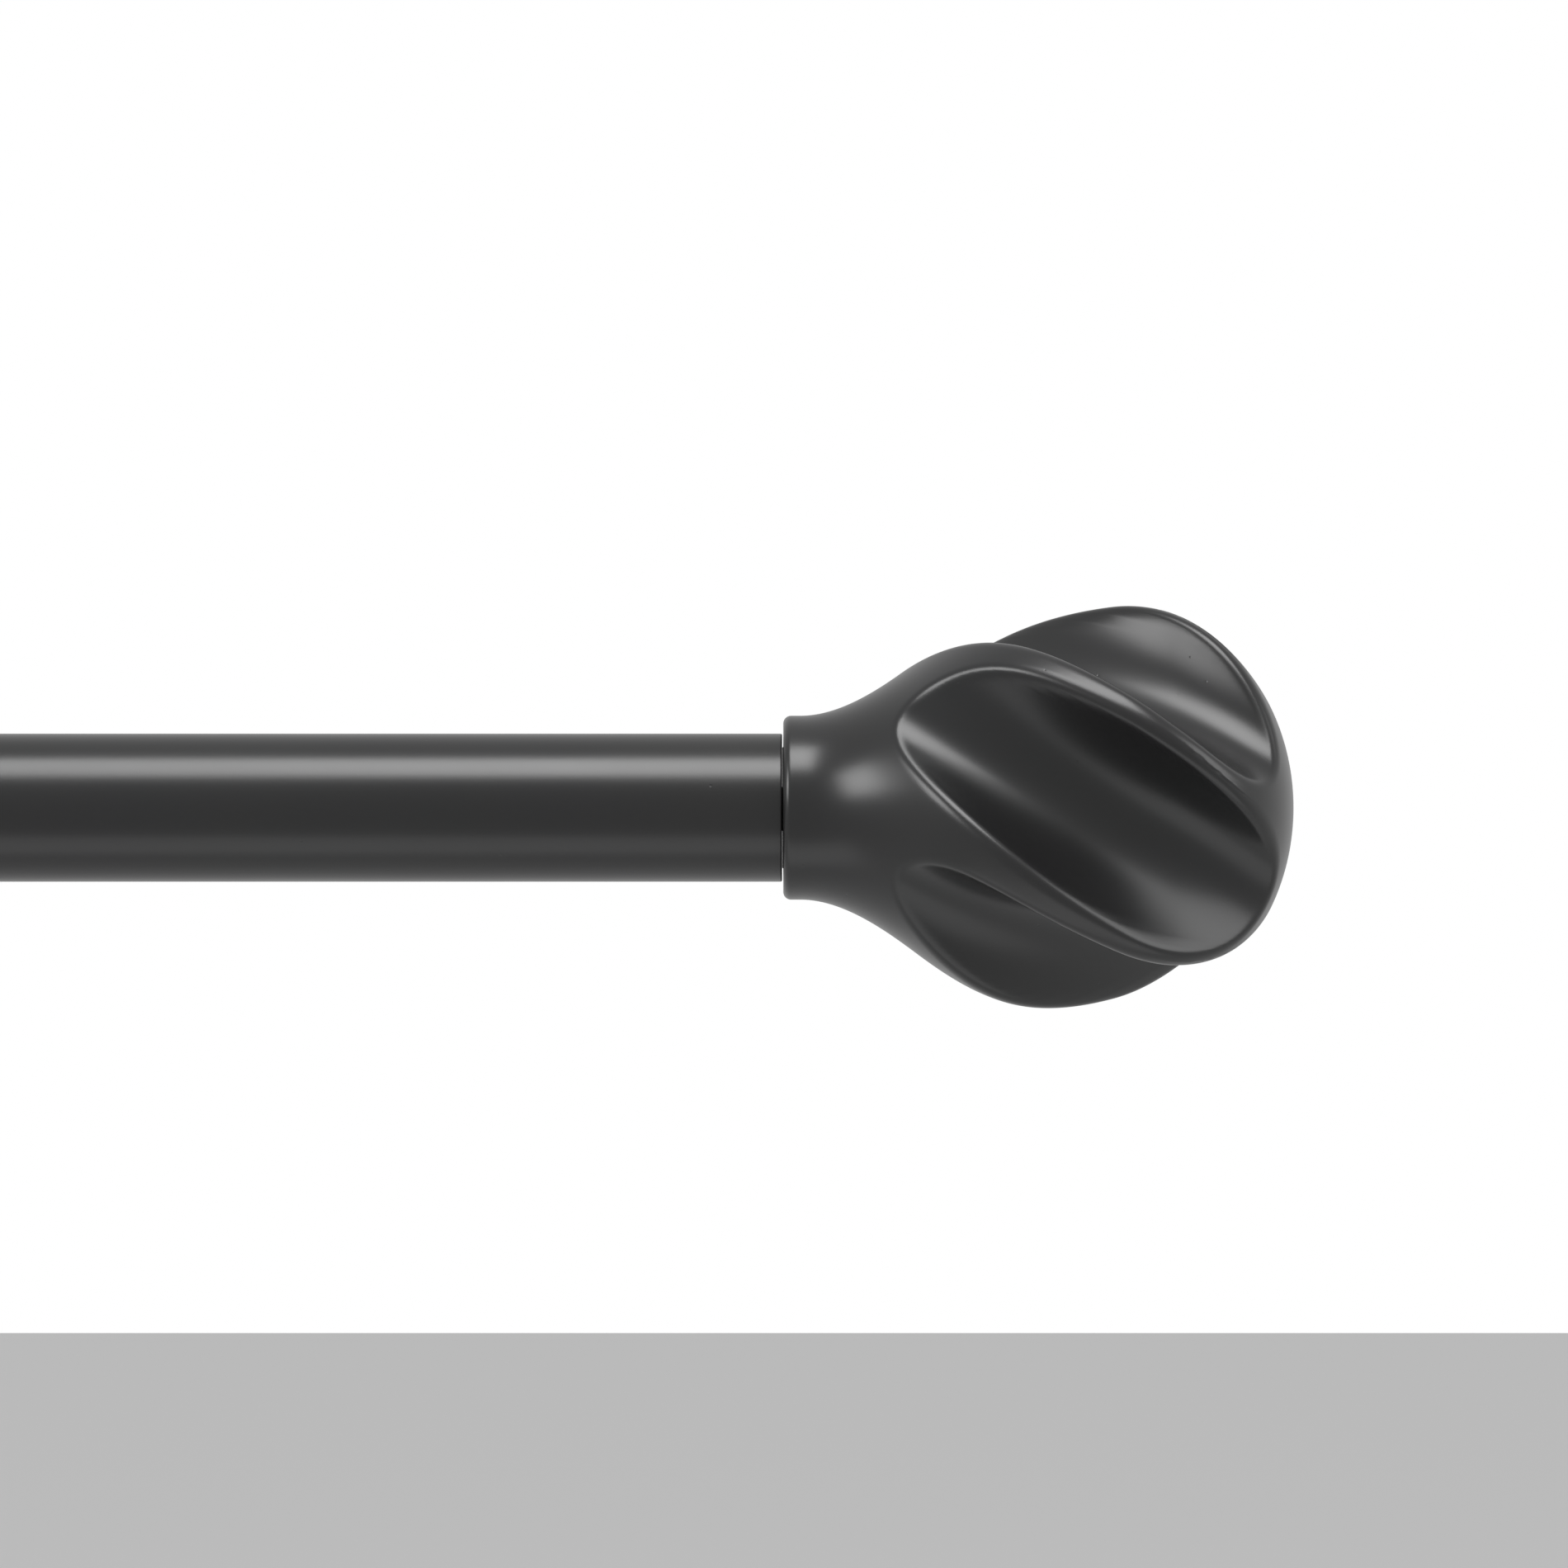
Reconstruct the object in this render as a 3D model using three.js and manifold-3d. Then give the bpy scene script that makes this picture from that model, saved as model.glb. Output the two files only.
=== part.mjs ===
// Telescoping curtain rod with twisted ball finials and two adjustable wall brackets.
//
// Millimetres. The origin is the middle of the right wall plate's back face.
// +X runs along the rod towards the right finial, +Y runs into the wall and +Z is up.

import * as THREE from 'three';
import { mergeVertices } from 'three/addons/utils/BufferGeometryUtils.js';
import Module from 'manifold-3d';

// ---------------------------------------------------------------- driving dimensions

const CLEARANCE = {
  seat: 0.02, // two faces that bear on each other
  running: 0.05, // a shaft that slides or turns in a bore
  collar: 0.14, // the hairline left between a tube's end and its finial
};

const OUTER_TUBE = { radius: 9.525, wall: 0.8, length: 600, edge: 0.3 };
const INNER_TUBE = { wall: 0.8, exposed: 110.72, edge: 0.3 }; // exposed: what shows with the rod shut

const PROJECTION = 89; // wall to the middle of the cradle with the arm pushed in
const RIGHT_COLLAR_OFFSET = 130; // right bracket to the right finial's collar
const LEFT_COLLAR_OFFSET = 80; // left bracket to the left finial's collar

const WALL_PLATE = { width: 28, height: 78, thickness: 3, edge: 0.5 };
const WALL_HOLE = { room: 0.5, fromEnd: 12 };
const ARM = { radius: 4.75, wallGap: 3, screwDepth: 10, edge: 0.5 };
const SLEEVE = { wall: 2.2, length: 45, flare: 4, footLength: 2, fillet: 4, edge: 0.6 };
const CRADLE = { room: 0.975, wall: 2.6, width: 14, legDrop: 1.5, edge: 0.5 };
const HUB = { wall: 2.25, length: 8, socketDepth: 7 };

const THUMB_SCREW = { radius: 2.5, knobRadius: 6.5, knobLength: 7, edge: 0.8, tipEdge: 0.3 };
const FLUTES = { count: 8, depth: 0.9, steps: 4 };
const SCREW_TIP = { inset: 0.3, length: 2.5, pinRadius: 1.1, pinLength: 1.5 };
const SCREW_BOSS = { wall: 2.5, knobGap: 1 }; // the gap is left under a tightened screw's knob
const CLAMP_BOSS = { length: 4, drop: 1.7 };
const LOCK_BOSS = { length: 5, fromMouth: 8 };
const CRADLE_SCREW = { radius: 2, headRadius: 3.8, headLength: 1.9, length: 10 };
const HEX_SOCKET = { radius: 1.4, depth: 1.2 };

const WALL_SCREW = { radius: 2, headRadius: 4, headLength: 2.6, length: 30, point: 4 };
const CROSS_RECESS = { width: 0.9, span: 4.4, depth: 1.5 };
const WALL_ANCHOR = { clearance: 0.15, wall: 1.35, length: 25, set: 2.4, nose: 3 };
const ANCHOR_RIBS = { count: 3, depth: 0.5, crest: 0.5, slope: 0.1 }; // shares of a rib's pitch
const ANCHOR_SLIT = { width: 0.9, length: 15 };

const END_PLUG = { length: 14, edge: 0.4 };
const BUSHING = { wall: 0.7175, length: 20, lip: 1.2 };
const GLIDE = { length: 12, boreRadius: 4.5, lip: 1.5, room: 5.2 }; // room: to the end plug

const STUD = { radius: 3, length: 24, edge: 0.5 };
const WASHER = { inset: 0.1375, boreRoom: 0.15, thickness: 0.5, edge: 0.1 };

// The finial's outline, measured along its axis from the collar's face. A pull is the length of
// a curve's handle at one of its ends, and the flare is the slope where neck and ball meet.
const COLLAR = { overhang: 2.305, length: 2.2, edge: 1 };
const NECK = { length: 14.9, radius: 18.73, flare: 0.75, startPull: 5.3, endPull: 4.25 };
const BALL = { middle: 42.5, radius: 26.5, end: 65.6, startPull: 8.6, endPull: 12 };
// Each scoop is a parabola in section. Its floor tapers along the finial, and the scoop ends
// where its floor comes out of the outline. The twist is in degrees, from where a rib faces front.
const SCOOPS = { count: 5, floorAtMiddle: 14, taper: -0.097, sharpness: 0.046 };
const TWIST = { perMillimetre: -1.47, start: 14.9 };

const ROUND = 32; // facets round a tube
const SMALL_ROUND = 16; // facets round a screw
const ANCHOR_ROUND = 12; // facets round a wall anchor
const ARC_STEPS = ROUND / 4; // half the facets in each arc of a flat outline
const SCOOP_STEPS = 8; // facets across a scoop
const OUTLINE_STEPS = { collar: 2, neck: 3, ball: 5, dome: 7 };
const OVERRUN = 1; // how far a cut or a join runs past the face that it starts from

// ---------------------------------------------------------------- sizes that follow from them

const outerBore = OUTER_TUBE.radius - OUTER_TUBE.wall;
const innerRadius = outerBore - CLEARANCE.seat - BUSHING.wall - CLEARANCE.running;
const innerBore = innerRadius - INNER_TUBE.wall;
const glideReach = GLIDE.room + GLIDE.lip + CLEARANCE.seat;
const innerLength = OUTER_TUBE.length + INNER_TUBE.exposed - END_PLUG.length - glideReach;

const cradleRadius = OUTER_TUBE.radius + CRADLE.room;
const cradleOuter = cradleRadius + CRADLE.wall;
const legHeight = cradleRadius - CRADLE.legDrop;
const hubEnd = cradleOuter + HUB.length;
const socketFloor = hubEnd - HUB.socketDepth;

const armBore = ARM.radius + CLEARANCE.running;
const sleeveRadius = armBore + SLEEVE.wall;
const screwBore = THUMB_SCREW.radius + CLEARANCE.running;
const bossRadius = THUMB_SCREW.radius + SCREW_BOSS.wall;
const clampBossEnd = cradleOuter + CLAMP_BOSS.length;
const lockBossEnd = sleeveRadius + LOCK_BOSS.length;
const tipLength = SCREW_TIP.length + CLEARANCE.seat;
const clampShank = clampBossEnd + SCREW_BOSS.knobGap - innerRadius - CLEARANCE.running - tipLength;
const lockShank = lockBossEnd + SCREW_BOSS.knobGap - armBore - tipLength;

const wallHoleZ = WALL_PLATE.height / 2 - WALL_HOLE.fromEnd;
const anchorBore = WALL_SCREW.radius + WALL_ANCHOR.clearance;
const collarRadius = OUTER_TUBE.radius + COLLAR.overhang;
const washerRadius = innerRadius - WASHER.inset;

// A tube lies in the bottom of its cradle, so its axis is below the cradle's middle.
const rodY = -PROJECTION;
const rodZ = -cradleDrop(OUTER_TUBE.radius);
const rightCollarX = RIGHT_COLLAR_OFFSET;
const outerEndX = rightCollarX - CLEARANCE.collar;
const mouthX = outerEndX - OUTER_TUBE.length;
const innerEndX = mouthX - INNER_TUBE.exposed;
const tailX = innerEndX + innerLength;
const leftCollarX = innerEndX - CLEARANCE.collar;
const leftBracketX = leftCollarX + LEFT_COLLAR_OFFSET;
const leftBracketZ = rodZ + cradleDrop(innerRadius);

function cradleDrop(tubeRadius) {
  return cradleRadius - CLEARANCE.running - tubeRadius;
}

// ---------------------------------------------------------------- finishes

function finish(color, roughness, metalness) {
  return new THREE.MeshStandardMaterial({ color, roughness, metalness });
}

const GRAPHITE_STEEL = finish(0x35363a, 0.42, 0.6);
const GRAPHITE_CAST = finish(0x36373a, 0.4, 0.4);
const BLACK_NYLON = finish(0x111112, 0.55, 0);
const NATURAL_NYLON = finish(0xd9d6cc, 0.5, 0);
const ZINC_PLATE = finish(0xa9acb0, 0.35, 1);
const ANCHOR_PLASTIC = finish(0x8f9499, 0.6, 0);

// ---------------------------------------------------------------- making shapes

const wasm = await Module();
wasm.setup();

const X = new THREE.Vector3(1, 0, 0);
const Y = new THREE.Vector3(0, 1, 0);
const TOWARDS_ROOM = new THREE.Vector3(0, -1, 0);
const DOWN = new THREE.Vector3(0, 0, -1);
const WELD = 1e-4; // points closer than this are one point

// A closed geometry as a solid that can be cut and joined.
function solid(geometry) {
  const bare = geometry.clone();
  bare.deleteAttribute('normal');
  bare.deleteAttribute('uv');
  const welded = mergeVertices(bare, WELD);
  const index = Array.from(welded.index.array);
  const triangles = [];
  for (let i = 0; i < index.length; i += 3) {
    const [a, b, c] = index.slice(i, i + 3);
    if (a !== b && b !== c && c !== a) {
      triangles.push(a, b, c);
    }
  }
  const mesh = new wasm.Mesh({
    numProp: 3,
    vertProperties: new Float32Array(welded.attributes.position.array),
    triVerts: new Uint32Array(triangles),
  });
  return new wasm.Manifold(mesh);
}

function geometryOf(body) {
  const mesh = body.getMesh();
  const geometry = new THREE.BufferGeometry();
  geometry.setAttribute('position', new THREE.BufferAttribute(mesh.vertProperties, 3));
  geometry.setIndex(new THREE.BufferAttribute(mesh.triVerts, 1));
  geometry.computeVertexNormals();
  return geometry;
}

// Points [radius, distance] spun about an axis that starts at the origin and runs along direction.
function turned(points, direction, facets = SMALL_ROUND) {
  const profile = points.map(([radius, along]) => new THREE.Vector2(radius, along));
  const geometry = new THREE.LatheGeometry(profile, facets);
  const turn = new THREE.Quaternion().setFromUnitVectors(Y, direction);
  return geometry.applyQuaternion(turn);
}

function rod(radius, length, direction, facets = SMALL_ROUND) {
  return turned([[0, 0], [radius, 0], [radius, length], [0, length]], direction, facets);
}

// A hollow cylinder with a small chamfer on its outer edges.
function pipe(radius, bore, length, edge, direction, facets = ROUND) {
  const points = [
    [bore, 0],
    [radius - edge, 0],
    [radius, edge],
    [radius, length - edge],
    [radius - edge, length],
    [bore, length],
    [bore, 0],
  ];
  return turned(points, direction, facets);
}

// The points [radius, distance] of a quarter turn, from their formulas at each angle.
function quarter(radiusAt, alongAt, steps) {
  return Array.from({ length: steps + 1 }, (_, i) => {
    const turn = (i / steps) * (Math.PI / 2);
    return [radiusAt(turn), alongAt(turn)];
  });
}

// A flat outline given thickness, with its front and back edges chamfered inside that thickness.
function thickened(outline, thickness, edge) {
  const geometry = new THREE.ExtrudeGeometry(outline, {
    depth: thickness - 2 * edge,
    bevelThickness: edge,
    bevelSize: edge,
    bevelOffset: -edge,
    bevelSegments: 1,
    curveSegments: ARC_STEPS,
  });
  return geometry.translate(0, 0, edge);
}

function piece(name, geometry, material, x = 0, y = 0, z = 0) {
  const mesh = new THREE.Mesh(geometry, material);
  mesh.name = name;
  mesh.position.set(x, y, z);
  return mesh;
}

// ---------------------------------------------------------------- the telescoping tubes

function outerTube() {
  const geometry = pipe(OUTER_TUBE.radius, outerBore, OUTER_TUBE.length, OUTER_TUBE.edge, X);
  return piece('outer_tube', geometry, GRAPHITE_STEEL, mouthX, rodY, rodZ);
}

function innerTube() {
  const geometry = pipe(innerRadius, innerBore, innerLength, INNER_TUBE.edge, X);
  return piece('inner_tube', geometry, GRAPHITE_STEEL, innerEndX, rodY, rodZ);
}

// A nylon sleeve that guides the inner tube, with a lip over the outer tube's mouth.
function mouthBushing() {
  const bore = innerRadius + CLEARANCE.running;
  const body = outerBore - CLEARANCE.seat;
  const lipEnd = -CLEARANCE.seat;
  const lipStart = lipEnd - BUSHING.lip;
  const points = [
    [bore, lipStart],
    [OUTER_TUBE.radius - OUTER_TUBE.edge, lipStart],
    [OUTER_TUBE.radius, lipStart + OUTER_TUBE.edge],
    [OUTER_TUBE.radius, lipEnd],
    [body, lipEnd],
    [body, BUSHING.length],
    [bore, BUSHING.length],
    [bore, lipStart],
  ];
  return piece('mouth_bushing', turned(points, X, ROUND), BLACK_NYLON, mouthX, rodY, rodZ);
}

// A nylon plug on the inner tube's hidden end, whose lip runs along the outer tube's bore.
function tailGlide() {
  const body = innerBore - CLEARANCE.seat;
  const lip = outerBore - CLEARANCE.running;
  const lipEnd = CLEARANCE.seat + GLIDE.lip;
  const points = [
    [GLIDE.boreRadius, -GLIDE.length],
    [body, -GLIDE.length],
    [body, CLEARANCE.seat],
    [lip, CLEARANCE.seat],
    [lip, lipEnd],
    [GLIDE.boreRadius, lipEnd],
    [GLIDE.boreRadius, -GLIDE.length],
  ];
  return piece('tail_glide', turned(points, X, ROUND), NATURAL_NYLON, tailX, rodY, rodZ);
}

// A threaded insert pressed into a tube's end, flush with it, for the finial's stud.
function endPlug(name, bore) {
  const radius = bore - CLEARANCE.seat;
  const geometry = pipe(radius, STUD.radius + CLEARANCE.running, END_PLUG.length, END_PLUG.edge, X);
  return piece(name, geometry, ZINC_PLATE, -END_PLUG.length - CLEARANCE.collar);
}

// ---------------------------------------------------------------- the finials

// The finial's outline from the collar to the tip, as the ribs' crests follow it.
function finialOutline() {
  const neckEnd = new THREE.Vector2(COLLAR.length + NECK.length, NECK.radius);
  const alongFlare = (pull) => new THREE.Vector2(pull, pull * NECK.flare).add(neckEnd);
  const neck = new THREE.CubicBezierCurve(
    new THREE.Vector2(COLLAR.length, collarRadius),
    new THREE.Vector2(COLLAR.length + NECK.startPull, collarRadius),
    alongFlare(-NECK.endPull),
    neckEnd,
  );
  const ball = new THREE.CubicBezierCurve(
    neckEnd,
    alongFlare(BALL.startPull),
    new THREE.Vector2(BALL.middle - BALL.endPull, BALL.radius),
    new THREE.Vector2(BALL.middle, BALL.radius),
  );
  const dome = new THREE.EllipseCurve(
    BALL.middle, 0, BALL.end - BALL.middle, BALL.radius, Math.PI / 2, 0, true,
  );
  return [
    ...neck.getPoints(OUTLINE_STEPS.neck),
    ...ball.getPoints(OUTLINE_STEPS.ball).slice(1),
    ...dome.getPoints(OUTLINE_STEPS.dome).slice(1),
  ];
}

// A scoop's radius at an angle from its middle line, where floor + sharpness * across^2 meets
// the ray at that angle. Past the last ray that meets it there is no scoop.
function scoopRadius(along, angle) {
  const floor = SCOOPS.floorAtMiddle + SCOOPS.taper * (along - BALL.middle);
  const spacing = (2 * Math.PI) / SCOOPS.count;
  const turn = angle - spacing * Math.round(angle / spacing);
  const reach = Math.cos(turn) ** 2 - 4 * SCOOPS.sharpness * floor * Math.sin(turn) ** 2;
  return reach > 0 ? (2 * floor) / (Math.cos(turn) + Math.sqrt(reach)) : Infinity;
}

// Presses the scoops into a turned finial and twists them about its axis.
function scooped(geometry) {
  const position = geometry.attributes.position;
  const halfSpacing = Math.PI / SCOOPS.count;
  for (let i = 0; i < position.count; i++) {
    const along = position.getX(i);
    if (along > TWIST.start) {
      const crest = Math.hypot(position.getY(i), position.getZ(i));
      const angle = Math.atan2(position.getZ(i), -position.getY(i));
      const radius = Math.min(crest, scoopRadius(along, angle - halfSpacing));
      const twist = THREE.MathUtils.degToRad(TWIST.perMillimetre * (along - TWIST.start));
      const twisted = angle + twist;
      position.setXYZ(i, along, -radius * Math.cos(twisted), radius * Math.sin(twisted));
    }
  }
  return geometry;
}

// The finial with a counterbore for its washer and a blind bore for its stud.
function finialGeometry() {
  const collarEdge = quarter(
    (turn) => collarRadius - COLLAR.edge * (1 - Math.sin(turn)),
    (turn) => COLLAR.edge * (1 - Math.cos(turn)),
    OUTLINE_STEPS.collar,
  );
  const points = [[0, 0], ...collarEdge, ...finialOutline().map((point) => [point.y, point.x])];
  points[points.length - 1][0] = 0;
  const body = solid(scooped(turned(points, X, SCOOP_STEPS * SCOOPS.count)));

  const bore = STUD.radius + CLEARANCE.running;
  const boreDepth = STUD.length / 2 + CLEARANCE.running;
  const seatRadius = washerRadius + CLEARANCE.running;
  const seatDepth = WASHER.thickness + 2 * CLEARANCE.seat - CLEARANCE.collar;
  const drill = [
    [0, -OVERRUN],
    [seatRadius, -OVERRUN],
    [seatRadius, seatDepth],
    [bore, seatDepth],
    [bore, boreDepth],
    [0, boreDepth],
  ];
  return geometryOf(body.subtract(solid(turned(drill, X, ROUND))));
}

function studGeometry() {
  const half = STUD.length / 2;
  const points = [
    [0, -half],
    [STUD.radius - STUD.edge, -half],
    [STUD.radius, STUD.edge - half],
    [STUD.radius, half - STUD.edge],
    [STUD.radius - STUD.edge, half],
    [0, half],
  ];
  return turned(points, X);
}

function washerGeometry() {
  const bore = STUD.radius + WASHER.boreRoom;
  return pipe(washerRadius, bore, WASHER.thickness, WASHER.edge, X);
}

// A finial with the stud, washer and threaded insert that hold it, laid along +X from its collar.
function finialSet(side, tubeBore) {
  const set = new THREE.Group();
  const washerX = CLEARANCE.seat - CLEARANCE.collar;
  set.add(
    piece(`${side}_finial`, finialGeometry(), GRAPHITE_CAST),
    piece(`${side}_finial_stud`, studGeometry(), ZINC_PLATE),
    piece(`${side}_finial_washer`, washerGeometry(), BLACK_NYLON, washerX),
    endPlug(`${side}_end_plug`, tubeBore),
  );
  return set;
}

// ---------------------------------------------------------------- the brackets

function wallPlateGeometry() {
  const round = WALL_PLATE.width / 2;
  const straight = WALL_PLATE.height / 2 - round;
  const outline = new THREE.Shape();
  outline.absarc(0, straight, round, 0, Math.PI, false);
  outline.absarc(0, -straight, round, Math.PI, 2 * Math.PI, false);
  outline.closePath();
  for (const z of [-wallHoleZ, wallHoleZ]) {
    const hole = new THREE.Path();
    hole.absarc(0, z, WALL_SCREW.radius + WALL_HOLE.room, 0, 2 * Math.PI, false);
    outline.holes.push(hole);
  }
  return thickened(outline, WALL_PLATE.thickness, WALL_PLATE.edge).rotateX(Math.PI / 2);
}

// A steel sleeve with a flared foot, and a boss underneath for the screw that locks the arm.
function sleeveGeometry() {
  const filletSteps = 3;
  const points = [
    [armBore, 0],
    [sleeveRadius + SLEEVE.flare, 0],
    ...quarter(
      (turn) => sleeveRadius + SLEEVE.flare * (1 - Math.sin(turn)),
      (turn) => SLEEVE.footLength + SLEEVE.fillet * (1 - Math.cos(turn)),
      filletSteps,
    ),
    [sleeveRadius, SLEEVE.length - SLEEVE.edge],
    [sleeveRadius - SLEEVE.edge, SLEEVE.length],
    [armBore, SLEEVE.length],
    [armBore, 0],
  ];
  const screwY = LOCK_BOSS.fromMouth - SLEEVE.length;
  const boss = rod(bossRadius, lockBossEnd, DOWN).translate(0, screwY, 0);
  const screwHole = rod(screwBore, lockBossEnd + OVERRUN, DOWN).translate(0, screwY, 0);
  const armHole = rod(armBore, SLEEVE.length, TOWARDS_ROOM);
  const body = solid(turned(points, TOWARDS_ROOM))
    .add(solid(boss))
    .subtract(solid(screwHole))
    .subtract(solid(armHole));
  return geometryOf(body);
}

const armBackY = -WALL_PLATE.thickness - ARM.wallGap;
const armFrontY = rodY + socketFloor + CLEARANCE.seat;

// A round bar whose front end is tapped for the cradle's screw, measured from its hidden end.
function armGeometry() {
  const length = armBackY - armFrontY;
  const hole = CRADLE_SCREW.radius + CLEARANCE.running;
  const points = [
    [0, 0],
    [ARM.radius - ARM.edge, 0],
    [ARM.radius, ARM.edge],
    [ARM.radius, length],
    [hole, length],
    [hole, length - ARM.screwDepth],
    [0, length - ARM.screwDepth],
  ];
  return turned(points, TOWARDS_ROOM);
}

// The U that the rod lies in, open at the top, as a strap bent round the rod's underside.
function strapGeometry() {
  const legMiddle = cradleRadius + CRADLE.wall / 2;
  const outline = new THREE.Shape();
  outline.moveTo(-cradleOuter, legHeight);
  outline.absarc(0, 0, cradleOuter, Math.PI, 2 * Math.PI, false);
  outline.absarc(legMiddle, legHeight, CRADLE.wall / 2, 0, Math.PI, false);
  outline.absarc(0, 0, cradleRadius, 0, Math.PI, true);
  outline.absarc(-legMiddle, legHeight, CRADLE.wall / 2, 0, Math.PI, false);
  const strap = thickened(outline, CRADLE.width, CRADLE.edge);
  const across = new THREE.Matrix4().makeBasis(Y, DOWN.clone().negate(), X);
  return strap.applyMatrix4(across).translate(-CRADLE.width / 2, 0, 0);
}

// The cast cradle: its front boss takes the clamping screw and its back hub takes the arm.
function cradleGeometry() {
  const legMiddle = cradleRadius + CRADLE.wall / 2;
  const hub = rod(ARM.radius + HUB.wall, hubEnd - legMiddle, Y).translate(0, legMiddle, 0);
  const socket = rod(armBore, HUB.length, Y).translate(0, socketFloor, 0);
  const boss = rod(bossRadius, clampBossEnd - legMiddle, TOWARDS_ROOM);
  boss.translate(0, -legMiddle, -CLAMP_BOSS.drop);
  const clampHole = rod(screwBore, clampBossEnd, TOWARDS_ROOM).translate(0, 0, -CLAMP_BOSS.drop);
  const sink = CRADLE_SCREW.headRadius + CLEARANCE.running;
  const through = CRADLE_SCREW.radius + CLEARANCE.running;
  const screwHole = turned(
    [
      [0, 0],
      [sink + cradleRadius, 0],
      [sink, cradleRadius],
      [through, cradleRadius + CRADLE_SCREW.headLength],
      [through, hubEnd],
      [0, hubEnd],
    ],
    Y,
  );
  const body = solid(strapGeometry())
    .add(solid(hub))
    .add(solid(boss))
    .subtract(solid(clampHole))
    .subtract(solid(socket))
    .subtract(solid(screwHole));
  return geometryOf(body);
}

// The flat-headed screw that joins the cradle to the arm, its head sunk in the cradle's back leg.
function cradleScrewGeometry() {
  const shank = CRADLE_SCREW.radius - CLEARANCE.seat;
  const points = [
    [0, 0],
    [CRADLE_SCREW.headRadius - CLEARANCE.running, 0],
    [shank, CRADLE_SCREW.headLength],
    [shank, CRADLE_SCREW.length],
    [0, CRADLE_SCREW.length],
  ];
  const hexagon = 6;
  const socket = rod(HEX_SOCKET.radius, HEX_SOCKET.depth + OVERRUN, Y, hexagon);
  socket.translate(0, -OVERRUN, 0);
  return geometryOf(solid(turned(points, Y)).subtract(solid(socket)));
}

// A fluted knob, from the face nearest its screw's tip.
function knobGeometry() {
  const steps = FLUTES.steps * FLUTES.count;
  const outline = new THREE.Shape();
  for (let i = 0; i < steps; i++) {
    const angle = (i / steps) * 2 * Math.PI;
    const dip = (FLUTES.depth * (1 - Math.cos(FLUTES.count * angle))) / 2;
    const radius = THUMB_SCREW.knobRadius - dip;
    const [x, y] = [radius * Math.cos(angle), radius * Math.sin(angle)];
    if (i === 0) {
      outline.moveTo(x, y);
    } else {
      outline.lineTo(x, y);
    }
  }
  outline.closePath();
  return thickened(outline, THUMB_SCREW.knobLength, THUMB_SCREW.edge).rotateX(-Math.PI / 2);
}

// A knob on its screw, measured from the screw's tip, with a hole for its nylon tip's pin.
function thumbScrewGeometry(shank, direction) {
  const pinHole = SCREW_TIP.pinRadius + CLEARANCE.running;
  const pinDepth = SCREW_TIP.pinLength + CLEARANCE.running;
  const points = [
    [0, pinDepth],
    [pinHole, pinDepth],
    [pinHole, 0],
    [THUMB_SCREW.radius - THUMB_SCREW.tipEdge, 0],
    [THUMB_SCREW.radius, THUMB_SCREW.tipEdge],
    [THUMB_SCREW.radius, shank + OVERRUN],
    [0, shank + OVERRUN],
  ];
  const screw = solid(knobGeometry().translate(0, shank, 0)).add(solid(turned(points, Y)));
  const turn = new THREE.Quaternion().setFromUnitVectors(Y, direction);
  return geometryOf(screw).applyQuaternion(turn);
}

// The nylon tip that a thumb screw presses with, measured from the face that bears.
function screwTipGeometry(direction) {
  const radius = THUMB_SCREW.radius - SCREW_TIP.inset;
  const points = [
    [0, 0],
    [radius, 0],
    [radius, SCREW_TIP.length],
    [SCREW_TIP.pinRadius, SCREW_TIP.length],
    [SCREW_TIP.pinRadius, SCREW_TIP.length + SCREW_TIP.pinLength],
    [0, SCREW_TIP.length + SCREW_TIP.pinLength],
  ];
  return turned(points, direction);
}

// A round-headed wood screw with a cross recess, measured from the face under its head.
function wallScrewGeometry() {
  const { radius, headRadius, headLength, length, point } = WALL_SCREW;
  const headSteps = 4;
  const points = [
    ...quarter(
      (turn) => headRadius * Math.sin(turn),
      (turn) => -headLength * Math.cos(turn),
      headSteps,
    ),
    [radius, 0],
    [radius, length - point],
    [0, length],
  ];
  const { span, depth, width } = CROSS_RECESS;
  const slot = new THREE.BoxGeometry(span, 2 * depth, width).translate(0, -headLength, 0);
  const cross = solid(slot).add(solid(slot.clone().rotateY(Math.PI / 2)));
  return geometryOf(solid(turned(points, Y)).subtract(cross));
}

// A ribbed plastic plug that grips the wall, slit from its far end so the screw can spread it.
function wallAnchorGeometry() {
  const { length, nose } = WALL_ANCHOR;
  const { count, depth, crest, slope } = ANCHOR_RIBS;
  const radius = anchorBore + WALL_ANCHOR.wall;
  const pitch = (length - nose) / count;
  const points = [[anchorBore, 0], [radius, 0]];
  for (let i = 0; i < count; i++) {
    const start = i * pitch;
    points.push(
      [radius, start + crest * pitch],
      [radius - depth, start + (crest + slope) * pitch],
      [radius - depth, start + (1 - slope) * pitch],
      [radius, start + pitch],
    );
  }
  points.push([anchorBore + depth, length], [anchorBore, length], [anchorBore, 0]);
  const slitLength = ANCHOR_SLIT.length + OVERRUN;
  const slit = new THREE.BoxGeometry(ANCHOR_SLIT.width, slitLength, 2 * (radius + OVERRUN));
  slit.translate(0, length + OVERRUN - slitLength / 2, 0);
  return geometryOf(solid(turned(points, Y, ANCHOR_ROUND)).subtract(solid(slit)));
}

// The bar and cradle that slide in and out, with the screw that joins them.
function armSet(side) {
  const screwY = rodY + cradleRadius + CLEARANCE.seat;
  return [
    piece(`${side}_arm`, armGeometry(), GRAPHITE_STEEL, 0, armBackY),
    piece(`${side}_cradle`, cradleGeometry(), GRAPHITE_CAST, 0, rodY),
    piece(`${side}_cradle_screw`, cradleScrewGeometry(), ZINC_PLATE, 0, screwY),
  ];
}

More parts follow.
